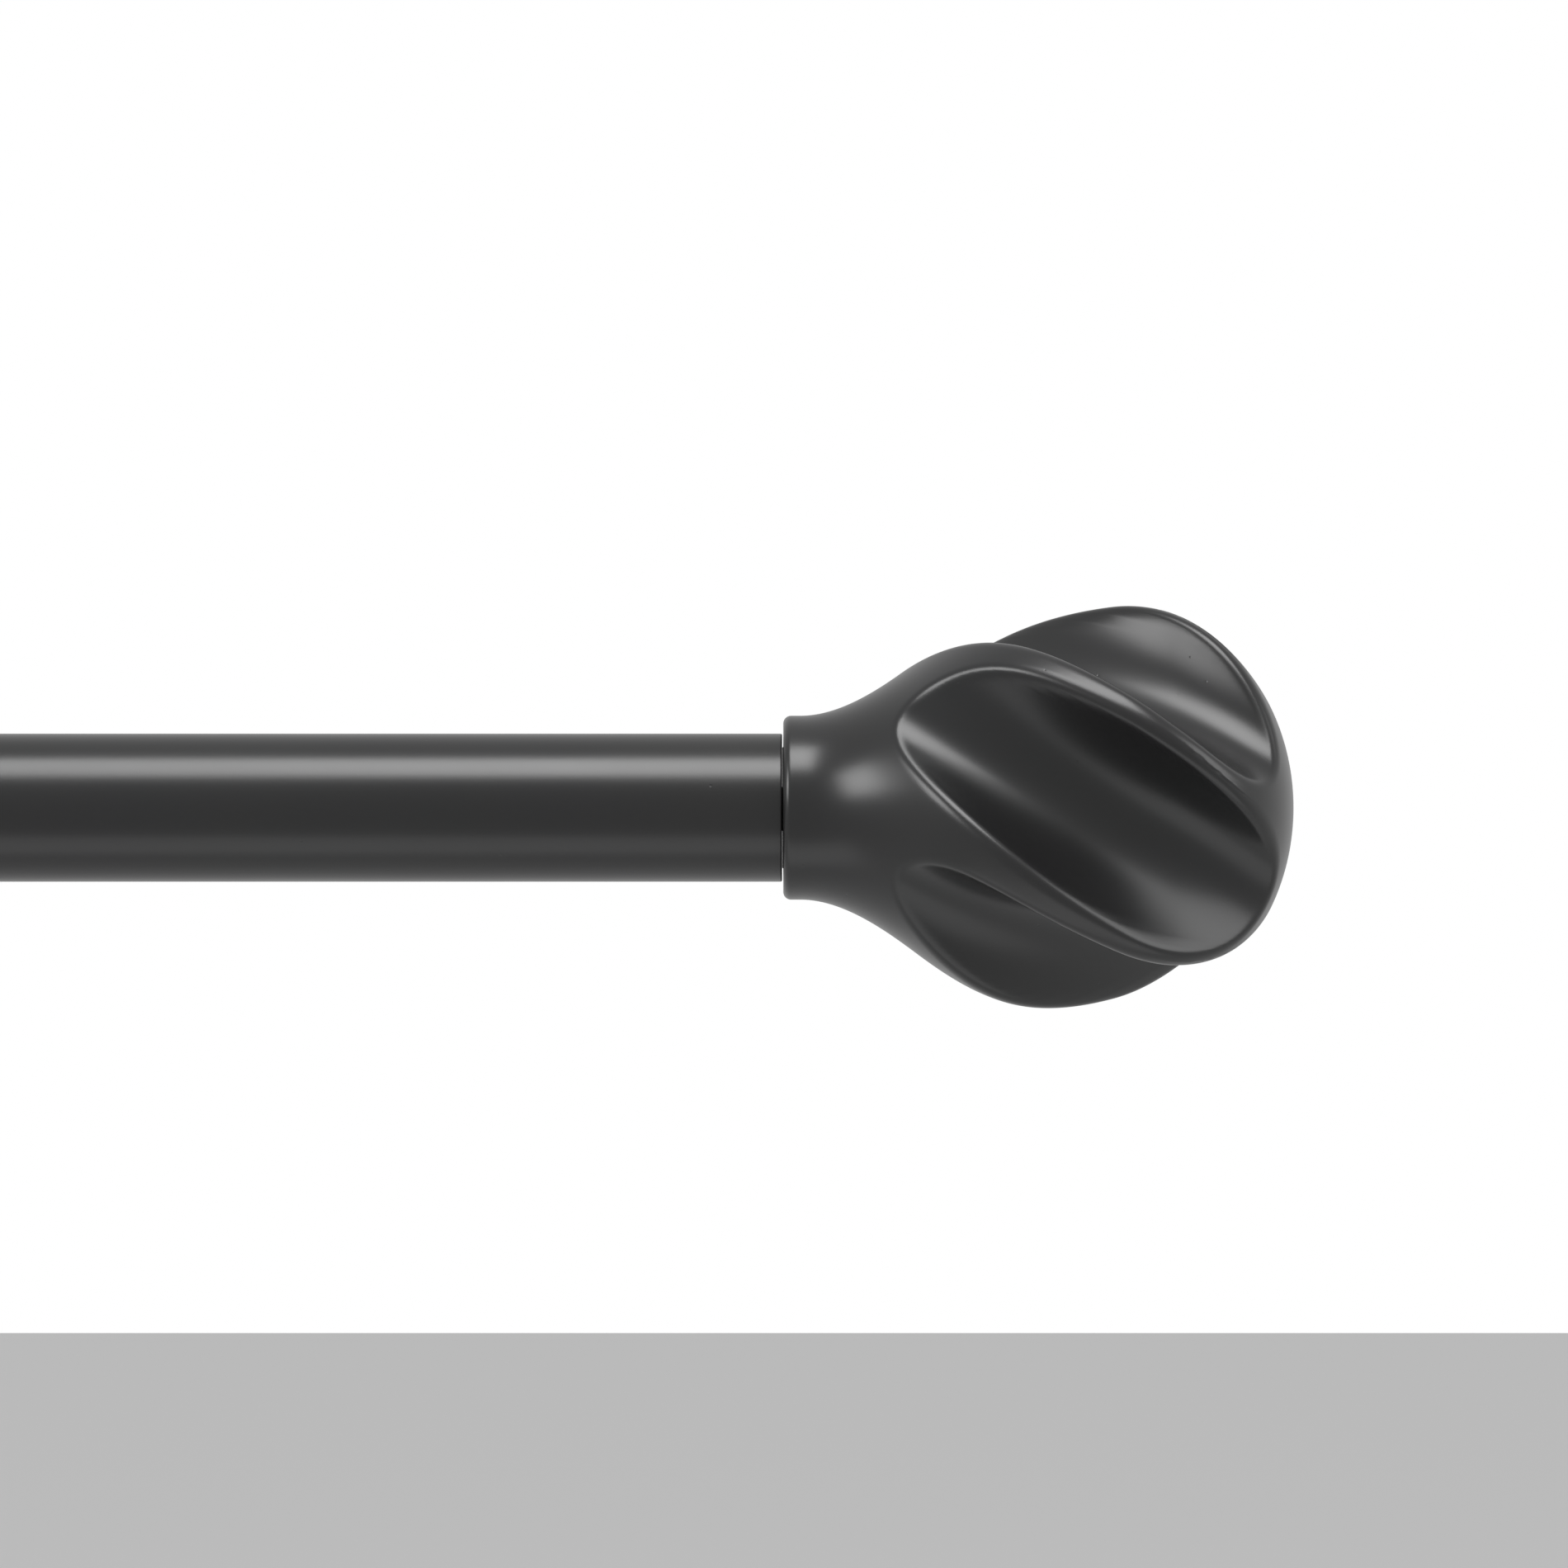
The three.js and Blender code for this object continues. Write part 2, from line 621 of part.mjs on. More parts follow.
// A thumb screw and its tip, whose bearing face is at y and z.
function thumbScrewSet(name, shank, direction, y, z) {
  const screw = piece(`${name}_screw`, thumbScrewGeometry(shank, direction), GRAPHITE_STEEL, 0, y, z);
  screw.position.addScaledVector(direction, tipLength);
  return [piece(`${name}_tip`, screwTipGeometry(direction), NATURAL_NYLON, 0, y, z), screw];
}

function wallFixing(name, z) {
  const screwY = -WALL_PLATE.thickness - CLEARANCE.seat;
  return [
    piece(`${name}_wall_screw`, wallScrewGeometry(), ZINC_PLATE, 0, screwY, z),
    piece(`${name}_wall_anchor`, wallAnchorGeometry(), ANCHOR_PLASTIC, 0, WALL_ANCHOR.set, z),
  ];
}

// A bracket for a tube, with its wall plate's back face at the group's origin.
function bracket(side, tubeRadius) {
  const sleeveY = -WALL_PLATE.thickness - CLEARANCE.seat;
  const clampY = rodY - tubeRadius - CLEARANCE.running;
  const lockY = sleeveY - SLEEVE.length + LOCK_BOSS.fromMouth;
  const set = new THREE.Group();
  set.add(
    piece(`${side}_wall_plate`, wallPlateGeometry(), GRAPHITE_STEEL),
    piece(`${side}_arm_sleeve`, sleeveGeometry(), GRAPHITE_STEEL, 0, sleeveY),
    ...armSet(side),
    ...thumbScrewSet(`${side}_clamp`, clampShank, TOWARDS_ROOM, clampY, -CLAMP_BOSS.drop),
    ...thumbScrewSet(`${side}_lock`, lockShank, DOWN, lockY, -armBore),
    ...wallFixing(`${side}_upper`, wallHoleZ),
    ...wallFixing(`${side}_lower`, -wallHoleZ),
  );
  return set;
}

// ---------------------------------------------------------------- the assembly

const rightFinial = finialSet('right', outerBore);
rightFinial.position.set(rightCollarX, rodY, rodZ);

const leftFinial = finialSet('left', innerBore);
leftFinial.position.set(leftCollarX, rodY, rodZ);
leftFinial.rotation.z = Math.PI;

const rightBracket = bracket('right', OUTER_TUBE.radius);
const leftBracket = bracket('left', innerRadius);
leftBracket.position.set(leftBracketX, 0, leftBracketZ);

const curtainRod = new THREE.Group();
curtainRod.add(outerTube(), innerTube(), mouthBushing(), tailGlide());
curtainRod.add(rightFinial, leftFinial, rightBracket, leftBracket);

export default curtainRod;
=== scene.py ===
import math

import bmesh
import bpy
from mathutils import Matrix, Vector


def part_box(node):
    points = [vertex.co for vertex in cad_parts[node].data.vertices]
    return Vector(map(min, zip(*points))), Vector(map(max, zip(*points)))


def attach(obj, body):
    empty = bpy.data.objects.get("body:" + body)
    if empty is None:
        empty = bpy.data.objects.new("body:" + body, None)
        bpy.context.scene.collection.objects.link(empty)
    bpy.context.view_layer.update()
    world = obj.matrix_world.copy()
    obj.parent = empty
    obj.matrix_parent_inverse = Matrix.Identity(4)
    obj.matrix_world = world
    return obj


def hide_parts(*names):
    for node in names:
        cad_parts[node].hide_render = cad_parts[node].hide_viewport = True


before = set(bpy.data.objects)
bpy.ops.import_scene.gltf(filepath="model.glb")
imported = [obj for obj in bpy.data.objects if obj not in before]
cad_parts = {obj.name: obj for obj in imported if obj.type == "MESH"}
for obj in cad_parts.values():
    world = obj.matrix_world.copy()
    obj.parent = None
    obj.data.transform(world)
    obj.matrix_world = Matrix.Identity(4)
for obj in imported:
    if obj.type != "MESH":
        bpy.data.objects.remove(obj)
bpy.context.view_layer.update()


# ---------------------------------------------------------------- the camera
# A long lens at the height of the rod looks straight at the wall, a little above the rod's
# axis, with the right finial right of the middle and the tube leaving the view on the left.

ALONG = Vector((1, 0, 0))  # along the rod, towards the right finial
TO_WALL = Vector((0, 1, 0))
TO_ROOM = Vector((0, -1, 0))
UP = Vector((0, 0, 1))
DOWN = Vector((0, 0, -1))

tube_low, tube_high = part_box("outer_tube")
rod_axis = (tube_low + tube_high) / 2
collar = Vector((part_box("right_finial")[0].x, rod_axis.y, rod_axis.z))

CAMERA_DISTANCE = 1.5
VIEW_WIDTH = 0.20165
SENSOR_WIDTH = 0.036

aim = collar + 0.0001 * ALONG + 0.00305 * UP
lens = bpy.data.cameras.new("camera")
lens.sensor_width = 1000 * SENSOR_WIDTH
lens.lens = 1000 * SENSOR_WIDTH * CAMERA_DISTANCE / VIEW_WIDTH
lens.clip_start = 0.05
camera = bpy.data.objects.new("camera", lens)
camera.location = aim + CAMERA_DISTANCE * TO_ROOM
camera.rotation_euler = (math.radians(90), 0, 0)
bpy.context.collection.objects.link(camera)
bpy.context.scene.camera = camera


# ---------------------------------------------------------------- the studio
# A white room with a pale floor. One softbox hangs over the front of the rod, one stands on each
# side of the finial, and a faint reflector lies below it. Gloss shows the room, not the floor.

bpy.context.scene.view_settings.view_transform = "Standard"
bpy.context.scene.view_settings.look = "None"

ROOM_WHITE = (1, 1, 1, 1)
FRONT_LIGHT = 0.43  # how bright the room is behind the camera
BACK_LIGHT = 0.75  # and beyond the rod

room = bpy.data.worlds.new("studio")
room.use_nodes = True
room_nodes = room.node_tree.nodes
room_links = room.node_tree.links
room_nodes.clear()
direction = room_nodes.new("ShaderNodeTexCoord")
parts = room_nodes.new("ShaderNodeSeparateXYZ")
depth = room_nodes.new("ShaderNodeMapRange")
depth.inputs["From Min"].default_value = -1
depth.inputs["From Max"].default_value = 1
depth.inputs["To Min"].default_value = FRONT_LIGHT
depth.inputs["To Max"].default_value = BACK_LIGHT
seen = room_nodes.new("ShaderNodeLightPath")
strength = room_nodes.new("ShaderNodeMix")
strength.inputs["B"].default_value = 1
glow = room_nodes.new("ShaderNodeBackground")
glow.inputs["Color"].default_value = ROOM_WHITE
room_out = room_nodes.new("ShaderNodeOutputWorld")
room_links.new(direction.outputs["Generated"], parts.inputs[0])
room_links.new(parts.outputs["Y"], depth.inputs["Value"])
room_links.new(seen.outputs["Is Camera Ray"], strength.inputs["Factor"])
room_links.new(depth.outputs["Result"], strength.inputs["A"])
room_links.new(strength.outputs["Result"], glow.inputs["Strength"])
room_links.new(glow.outputs[0], room_out.inputs["Surface"])
bpy.context.scene.world = room


def softbox(name, bearing, rise, distance, width, height, radiance):
    """A lamp that faces the finial's collar. Bearing is degrees right of the camera."""
    lamp = bpy.data.lights.new(name, "AREA")
    lamp.shape = "RECTANGLE"
    lamp.size = width
    lamp.size_y = height
    lamp.energy = radiance * math.pi * width * height
    item = bpy.data.objects.new(name, lamp)
    bearing, rise = math.radians(bearing), math.radians(rise)
    flat = math.cos(rise)
    way = Vector((math.sin(bearing) * flat, -math.cos(bearing) * flat, math.sin(rise)))
    item.location = collar + distance * way
    item.rotation_euler = way.to_track_quat("Z", "Y").to_euler()
    item.visible_camera = False
    bpy.context.collection.objects.link(item)


softbox("top_softbox", bearing=5, rise=66, distance=1.2, width=0.7, height=0.67, radiance=7.2)
softbox("left_softbox", bearing=-56, rise=23, distance=1.2, width=0.45, height=0.5, radiance=7)
softbox("right_softbox", bearing=72, rise=18, distance=1.2, width=0.7, height=0.8, radiance=2.5)
softbox("low_reflector", bearing=0, rise=-60, distance=0.3, width=0.6, height=0.16, radiance=0.6)

FLOOR_DROP = 0.35
FLOOR_SIZE = 12
FLOOR_SHADE = 0.8

floor_mesh = bmesh.new()
bmesh.ops.create_grid(floor_mesh, x_segments=1, y_segments=1, size=FLOOR_SIZE / 2)
floor_place = Matrix.Translation(rod_axis + FLOOR_DROP * DOWN)
bmesh.ops.transform(floor_mesh, matrix=floor_place, verts=floor_mesh.verts)
floor_data = bpy.data.meshes.new("floor")
floor_mesh.to_mesh(floor_data)
floor_mesh.free()
floor = bpy.data.objects.new("floor", floor_data)
bpy.context.collection.objects.link(floor)
pale = bpy.data.materials.new("pale_floor")
pale.use_nodes = True
paint = pale.node_tree.nodes["Principled BSDF"]
paint.inputs["Base Color"].default_value = (FLOOR_SHADE, FLOOR_SHADE, FLOOR_SHADE, 1)
paint.inputs["Roughness"].default_value = 0.9
floor_data.materials.append(pale)
floor.visible_glossy = False


# ---------------------------------------------------------------- the outer tube
# Drawn steel tube, 3/4 inch across, cut square with its edges broken and powder coated in satin
# graphite. The coat is sprayed and baked, so it flows into a fine, faintly pitted orange peel.

ROUND = 128  # facets round a large turned piece
SMALL_ROUND = 64  # and round a small one
SEAT = 0.00002  # room between pieces that are fixed together
RUNNING = 0.00005  # and between pieces that slide
FLAT_MARGIN = 0.00004  # flat strip beside a rounded edge, so that the flat shades as flat
CORNER_SHARE = 0.4  # the most of an edge that one rounded corner takes
MARGIN_SHARE = 0.05  # and the most that one flat strip takes
WELD = 1e-7  # points closer than this are one point
ON_AXIS = 1e-6  # points closer than this to an axis don't turn about it


def measured(node):
    """A node's low corner, high corner, middle and size."""
    low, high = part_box(node)
    return low, high, (low + high) / 2, high - low


def rounded(corners, radius, steps=4):
    """A closed outline whose corners off the axis are eased into curves."""
    points = []
    for i, corner in enumerate(corners):
        here = Vector(corner)
        back = Vector(corners[i - 1]) - here
        ahead = Vector(corners[(i + 1) % len(corners)]) - here
        if here.x == 0:
            points.append(here)
            continue
        shorter = min(back.length, ahead.length)
        reach = min(radius, CORNER_SHARE * shorter)
        margin = min(FLAT_MARGIN, MARGIN_SHARE * shorter)
        start, end = here + reach * back.normalized(), here + reach * ahead.normalized()
        points.append(start + margin * back.normalized())
        for step in range(steps + 1):
            t = step / steps
            points.append((1 - t) ** 2 * start + 2 * t * (1 - t) * here + t**2 * end)
        points.append(end + margin * ahead.normalized())
    return points


def placed(bm, start, axes):
    """Moves a mesh from the origin to start, with its X, Y and Z laid along three directions."""
    turn = Matrix(axes).transposed().to_4x4()
    bmesh.ops.transform(bm, matrix=Matrix.Translation(start) @ turn, verts=bm.verts)
    bmesh.ops.recalc_face_normals(bm, faces=bm.faces)
    return bm


def turned(outline, start, way, facets=ROUND, shape=None):
    """A closed outline of (radius, distance) points spun about the axis from start along way.

    Shape changes the radius and angle of each point from its radius, distance and angle."""
    bm = bmesh.new()
    points = [bm.verts.new((radius, 0, along)) for radius, along in outline]
    edges = [bm.edges.new(pair) for pair in zip(points, points[1:])]
    if outline[0][0] > 0:
        edges.append(bm.edges.new((points[-1], points[0])))
    bmesh.ops.spin(
        bm,
        geom=points + edges,
        axis=UP,
        cent=(0, 0, 0),
        angle=2 * math.pi,
        steps=facets,
        use_merge=True,
    )
    bmesh.ops.remove_doubles(bm, verts=bm.verts, dist=WELD)
    if shape:
        for vert in bm.verts:
            radius = math.hypot(vert.co.x, vert.co.y)
            if radius > ON_AXIS:
                angle = math.atan2(vert.co.y, vert.co.x)
                radius, angle = shape(radius, vert.co.z, angle)
                vert.co.x = radius * math.cos(angle)
                vert.co.y = radius * math.sin(angle)
    side = UP if way.dot(UP) == 0 else ALONG
    return placed(bm, start, (side, way.cross(side), way))


def finished(name, bm, material, slot, body, *nodes, crease=40):
    """Turns a bmesh into a piece that rides on a body and stands for CAD nodes."""
    data = bpy.data.meshes.new(name)
    bm.to_mesh(data)
    bm.free()
    data.shade_smooth()
    data.set_sharp_from_angle(angle=math.radians(crease))
    data.materials.append(material)
    item = bpy.data.objects.new(name, data)
    bpy.context.collection.objects.link(item)
    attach(item, body)
    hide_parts(*nodes)
    return item


def pipe(radius, bore, low, high, edge):
    """A tube from low to high along the rod's axis."""
    length = high.x - low.x
    outline = rounded([(bore, 0), (radius, 0), (radius, length), (bore, length)], edge)
    return turned(outline, Vector((low.x, rod_axis.y, rod_axis.z)), ALONG)


def noise(tree, place, scale, detail):
    """Noise on the piece's own coordinates."""
    node = tree.nodes.new("ShaderNodeTexNoise")
    node.inputs["Scale"].default_value = scale
    node.inputs["Detail"].default_value = detail
    tree.links.new(place.outputs["Object"], node.inputs["Vector"])
    return node


def bump(tree, height, strength, distance):
    """A normal from a height, which moves the surface by distance in metres."""
    node = tree.nodes.new("ShaderNodeBump")
    node.inputs["Strength"].default_value = strength
    node.inputs["Distance"].default_value = distance
    tree.links.new(height, node.inputs["Height"])
    return node


def surface_group(name):
    """An empty group that takes a colour and a roughness and puts them out with a normal."""
    group = bpy.data.node_groups.new(name, "ShaderNodeTree")
    add = group.interface.new_socket
    for way in ("INPUT", "OUTPUT"):
        add("Color", in_out=way, socket_type="NodeSocketColor")
        add("Roughness", in_out=way, socket_type="NodeSocketFloat")
    add("Normal", in_out="OUTPUT", socket_type="NodeSocketVector")
    given = group.nodes.new("NodeGroupInput")
    made = group.nodes.new("NodeGroupOutput")
    place = group.nodes.new("ShaderNodeTexCoord")
    return group, given, made, place


def drifting(group, given, made, pattern, roughness, shade):
    """Lets a pattern change the group's roughness up and down, and darken its colour."""
    nodes, links = group.nodes, group.links
    gloss = nodes.new("ShaderNodeMapRange")
    gloss.inputs["To Min"].default_value = -roughness
    gloss.inputs["To Max"].default_value = roughness
    links.new(pattern.outputs[0], gloss.inputs["Value"])
    total = nodes.new("ShaderNodeMath")
    links.new(gloss.outputs[0], total.inputs[0])
    links.new(given.outputs["Roughness"], total.inputs[1])
    links.new(total.outputs[0], made.inputs["Roughness"])
    tint = nodes.new("ShaderNodeMix")
    tint.data_type = "RGBA"
    tint.blend_type = "MULTIPLY"
    tint.inputs["Factor"].default_value = shade
    links.new(given.outputs["Color"], tint.inputs["A"])
    links.new(pattern.outputs["Color"], tint.inputs["B"])
    links.new(tint.outputs["Result"], made.inputs["Color"])


def surfaced(name, group, colour, roughness, ior):
    """A material whose colour, roughness and normal come through a surface group."""
    material = bpy.data.materials.new(name)
    material.use_nodes = True
    shader = material.node_tree.nodes["Principled BSDF"]
    shader.inputs["IOR"].default_value = ior
    surface = material.node_tree.nodes.new("ShaderNodeGroup")
    surface.node_tree = group
    surface.inputs["Color"].default_value = (*colour, 1)
    surface.inputs["Roughness"].default_value = roughness
    for output, socket in (("Color", "Base Color"), ("Roughness", "Roughness"), ("Normal", "Normal")):
        material.node_tree.links.new(surface.outputs[output], shader.inputs[socket])
    return material, surface, shader


def orange_peel_group():
    """The surface of a sprayed and baked coat."""
    group, given, made, place = surface_group("orange_peel")
    group.interface.new_socket("Peel Size", in_out="INPUT", socket_type="NodeSocketFloat")
    nodes, links = group.nodes, group.links

    # Waves in the coat: one over the peel size gives the noise its scale.
    scale = nodes.new("ShaderNodeMath")
    scale.operation = "DIVIDE"
    scale.inputs[0].default_value = 1
    links.new(given.outputs["Peel Size"], scale.inputs[1])
    peel = noise(group, place, scale=1, detail=1.5)
    links.new(scale.outputs[0], peel.inputs["Scale"])
    waves = bump(group, peel.outputs[0], strength=0.35, distance=0.00001)

    # A few pinholes where gas left the coat while it baked.
    cells = nodes.new("ShaderNodeTexVoronoi")
    cells.inputs["Scale"].default_value = 260
    links.new(place.outputs["Object"], cells.inputs["Vector"])
    pinhole = nodes.new("ShaderNodeMapRange")
    pinhole.interpolation_type = "SMOOTHSTEP"
    pinhole.inputs["From Min"].default_value = 0.02
    pinhole.inputs["From Max"].default_value = 0.06
    links.new(cells.outputs["Distance"], pinhole.inputs["Value"])
    pits = bump(group, pinhole.outputs[0], strength=0.6, distance=0.00003)
    links.new(waves.outputs[0], pits.inputs["Normal"])
    links.new(pits.outputs[0], made.inputs["Normal"])

    # The gloss and the shade drift slowly where the coat is thicker or thinner.
    drift = noise(group, place, scale=45, detail=3)
    drifting(group, given, made, drift, roughness=0.03, shade=0.15)
    return group


ORANGE_PEEL = orange_peel_group()


def coated(name, colour, roughness, peel_size):
    """A satin powder coat in one colour."""
    material, coat, shader = surfaced(name, ORANGE_PEEL, colour, roughness, ior=1.55)
    coat.inputs["Peel Size"].default_value = peel_size
    return material


GRAPHITE = (0.011, 0.011, 0.0113)
graphite_tube = coated("graphite_tube", GRAPHITE, roughness=0.3, peel_size=0.0003)

TUBE_WALL = 0.0008
TUBE_EDGE = 0.00025

outer_radius = (tube_high.y - tube_low.y) / 2
outer_bore = outer_radius - TUBE_WALL
outer_mesh = pipe(outer_radius, outer_bore, tube_low, tube_high, TUBE_EDGE)
finished("outer_tube_fine", outer_mesh, graphite_tube, "graphite_steel", "outer_rod", "outer_tube")


# ---------------------------------------------------------------- the finials
# Each is a ball on a flared neck, cast in resin round a threaded insert and coated like the
# tube. Five scoops with rounded rims twist round it and leave narrow ribs between them.

COLLAR_OVERHANG = 0.002305
COLLAR_RADIUS = outer_radius + COLLAR_OVERHANG
COLLAR_LENGTH = 0.0022
COLLAR_EDGE = 0.001
NECK_LENGTH = 0.0149
NECK_RADIUS = 0.01873
NECK_FLARE = 0.75  # slope where the neck runs into the ball
NECK_PULLS = (0.0053, 0.00425)  # lengths of the curve's handles
BALL_MIDDLE = 0.0425
BALL_RADIUS = 0.0265
BALL_PULLS = (0.0086, 0.012)
FINIAL_LENGTH = 0.0656

SCOOP_COUNT = 5
SCOOP_FLOOR = 0.014  # from the axis, at the middle of the ball
SCOOP_TAPER = -0.097
SCOOP_SHARPNESS = 46  # of its parabola, per metre
RIM_RADIUS = 0.0017
TWIST = math.radians(-1470)  # per metre
TWIST_START = 0.0149  # where a rib faces the front
END_TWIST = math.radians(-7)  # extra at the tip
END_TWIST_START = 0.05

STUD_REACH = 0.012  # of the stud into the finial
WASHER_SEAT = 0.0004
stud_radius = measured("right_finial_stud")[3].y / 2
washer_radius = measured("right_finial_washer")[3].y / 2

FINIAL_COLUMNS = 64 * SCOOP_COUNT
OUTLINE_STEPS = {"collar": 8, "neck": 44, "ball": 80, "dome": 110}
BLEND_LENGTH = 0.004  # before the twist starts, where rims may already show
TWIST_STEP = 1e-5  # for its rate
DEEPEST = 0.3  # of the crest's radius, where the search for the surface starts
HALVINGS = 14  # of that search
LEAST_BLEND = 1e-3
RIB_DENSITY = 0.55  # how much closer the columns stand on the ribs


def stud_hole(outline):
    """Starts a finial's outline with its blind bore and the seat of its washer."""
    bore_depth = STUD_REACH + RUNNING
    bore = stud_radius + RUNNING
    seat = washer_radius + RUNNING
    drilled = [(0, bore_depth), (bore, bore_depth), (bore, WASHER_SEAT), (seat, WASHER_SEAT)]
    return [Vector(point) for point in drilled] + [Vector((seat, 0))] + outline


def curve(start, start_pull, end_pull, end, steps):
    """Points along a cubic curve, without the first."""
    handles = [Vector(start), Vector(start_pull), Vector(end_pull), Vector(end)]
    found = []
    for i in range(1, steps + 1):
        t = i / steps
        weights = [(1 - t) ** 3, 3 * (1 - t) ** 2 * t, 3 * (1 - t) * t**2, t**3]
        found.append(sum((w * h for w, h in zip(weights, handles)), Vector((0, 0))))
    return found


def finial_outline():
    """(radius, distance) points from the middle of the collar's face to the tip."""
    points = stud_hole([Vector((COLLAR_RADIUS - COLLAR_EDGE - FLAT_MARGIN, 0))])
    for i in range(OUTLINE_STEPS["collar"] + 1):
        turn = math.pi / 2 * i / OUTLINE_STEPS["collar"]
        radius = COLLAR_RADIUS - COLLAR_EDGE * (1 - math.sin(turn))
        points.append(Vector((radius, COLLAR_EDGE * (1 - math.cos(turn)))))
    neck_start = (COLLAR_RADIUS, COLLAR_LENGTH)
    neck_end = (NECK_RADIUS, COLLAR_LENGTH + NECK_LENGTH)
    flare = Vector((NECK_FLARE, 1))
    points.append(Vector(neck_start))
    points += curve(
        neck_start,
        Vector(neck_start) + Vector((0, NECK_PULLS[0])),
        Vector(neck_end) - NECK_PULLS[1] * flare,
        neck_end,
        OUTLINE_STEPS["neck"],
    )
    points += curve(
        neck_end,
        Vector(neck_end) + BALL_PULLS[0] * flare,
        (BALL_RADIUS, BALL_MIDDLE - BALL_PULLS[1]),
        (BALL_RADIUS, BALL_MIDDLE),
        OUTLINE_STEPS["ball"],
    )
    for i in range(1, OUTLINE_STEPS["dome"] + 1):
        turn = math.pi / 2 * i / OUTLINE_STEPS["dome"]
        along = BALL_MIDDLE + (FINIAL_LENGTH - BALL_MIDDLE) * math.sin(turn)
        points.append(Vector((BALL_RADIUS * math.cos(turn), along)))
    points[-1].x = 0
    return points


def twist_at(along):
    """How far the scoops have turned at a distance from the collar."""
    past = max(along - END_TWIST_START, 0) / (FINIAL_LENGTH - END_TWIST_START)
    return TWIST * (along - TWIST_START) + END_TWIST * past**2


def pressed(along, crest, crest_slope, angle):
    """The radius where the surface lies, at an angle from a scoop's middle line.

    The ball's outline and the scoop's parabola are blended so that the rim between them is a
    fillet of one radius, however steeply they meet."""
    before, after = along - TWIST_STEP, along + TWIST_STEP
    twist_rate = (twist_at(after) - twist_at(before)) / (2 * TWIST_STEP)
    floor = SCOOP_FLOOR + SCOOP_TAPER * (along - BALL_MIDDLE)
    out_ball = Vector((crest_slope, -1, 0)).normalized()
    low, high = DEEPEST * crest, crest
    for _ in range(HALVINGS):
        radius = (low + high) / 2
        high_off = radius * math.cos(angle)
        across = radius * math.sin(angle)
        spread = 2 * SCOOP_SHARPNESS * across
        rate = across * twist_rate - SCOOP_TAPER + spread * high_off * twist_rate
        gradient = Vector((rate, 1, -spread))
        under_scoop = (floor + SCOOP_SHARPNESS * across**2 - high_off) / gradient.length
        under_ball = (crest - radius) / math.hypot(1, crest_slope)
        radial = Vector((-gradient.x, -math.cos(angle) + spread * math.sin(angle), 0))
        sideways = math.sin(angle) + spread * math.cos(angle)
        steepness = math.hypot(radial.length, sideways)
        facing = (out_ball.x * radial.x + out_ball.y * radial.y) / steepness
        blend = RIM_RADIUS * max(1 - facing, LEAST_BLEND)
        overlap = max(blend - abs(under_scoop - under_ball), 0) / blend
        depth_left = min(under_scoop, under_ball) - overlap**2 * blend / 4
        if depth_left > 0:
            low = radius
        else:
            high = radius
    return (low + high) / 2


def finial():
    """A finial with its collar at the origin and its axis along Z. X faces the front."""
    outline = finial_outline()
    slopes = {}
    for before, here, after in zip(outline, outline[1:], outline[2:]):
        rise = after.y - before.y
        slopes[round(here.y, 7)] = (after.x - before.x) / rise if rise else 0
    spacing = 2 * math.pi / SCOOP_COUNT
    blend_start = TWIST_START - BLEND_LENGTH
    radii = {}

    def scooped(radius, along, angle):
        angle += RIB_DENSITY * math.sin(SCOOP_COUNT * angle) / SCOOP_COUNT
        turn = (angle + spacing / 2) % spacing - spacing / 2
        if along > blend_start and radius > stud_radius + 2 * RUNNING:
            spot = round(along, 7), round(turn, 4)
            if spot not in radii:
                radii[spot] = pressed(along, radius, slopes[spot[0]], turn)
            radius = radii[spot]
        return radius, angle + spacing / 2 + twist_at(max(along, blend_start))

    return turned(outline, Vector(), UP, FINIAL_COLUMNS, shape=scooped)


graphite_finial = coated("graphite_finial", GRAPHITE, roughness=0.3, peel_size=0.0003)
left_collar = Vector((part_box("left_finial")[1].x, rod_axis.y, rod_axis.z))

finial_mesh = finial()

for side, start, axes in (
    ("right", collar, (TO_ROOM, UP, ALONG)),
    ("left", left_collar, (TO_WALL, UP, -ALONG)),
):
    node = f"{side}_finial"
    bm = placed(finial_mesh.copy(), start, axes)
    body = f"{side}_finial_end"
    finished(f"{node}_fine", bm, graphite_finial, "graphite_resin", body, node, crease=85)


# ---------------------------------------------------------------- the inner tube
# A narrower steel tube in the same coat, that slides in and out of the outer tube.

inner_low, inner_high, inner_middle, inner_size = measured("inner_tube")
inner_radius = inner_size.y / 2
inner_bore = inner_radius - TUBE_WALL
inner_mesh = pipe(inner_radius, inner_bore, inner_low, inner_high, TUBE_EDGE)
finished("inner_tube_fine", inner_mesh, graphite_tube, "graphite_steel", "inner_rod", "inner_tube")


# ---------------------------------------------------------------- the mouth bushing
# A moulded black nylon sleeve pressed into the outer tube's mouth. Its lip covers the cut edge
# and its bore guides the inner tube.


def moulded_group():
    """The skin of a moulded plastic: fine grain, flow marks and a drifting gloss."""
    group, given, made, place = surface_group("moulded_skin")
    grain = noise(group, place, scale=5000, detail=2)
    relief = bump(group, grain.outputs[0], strength=0.3, distance=0.00001)
    group.links.new(relief.outputs[0], made.inputs["Normal"])
    flow = noise(group, place, scale=160, detail=3)
    flow.inputs["Distortion"].default_value = 1.5
    drifting(group, given, made, flow, roughness=0.08, shade=0.25)
    return group


MOULDED = moulded_group()


def moulded(name, colour, roughness, glow=0):
    """A moulded plastic. Glow is how much light passes through its skin."""
    material, skin, shader = surfaced(name, MOULDED, colour, roughness, ior=1.53)
    shader.inputs["Subsurface Weight"].default_value = glow
    shader.inputs["Subsurface Scale"].default_value = 0.001
    return material


black_nylon = moulded("black_nylon_skin", (0.012, 0.012, 0.013), roughness=0.42)

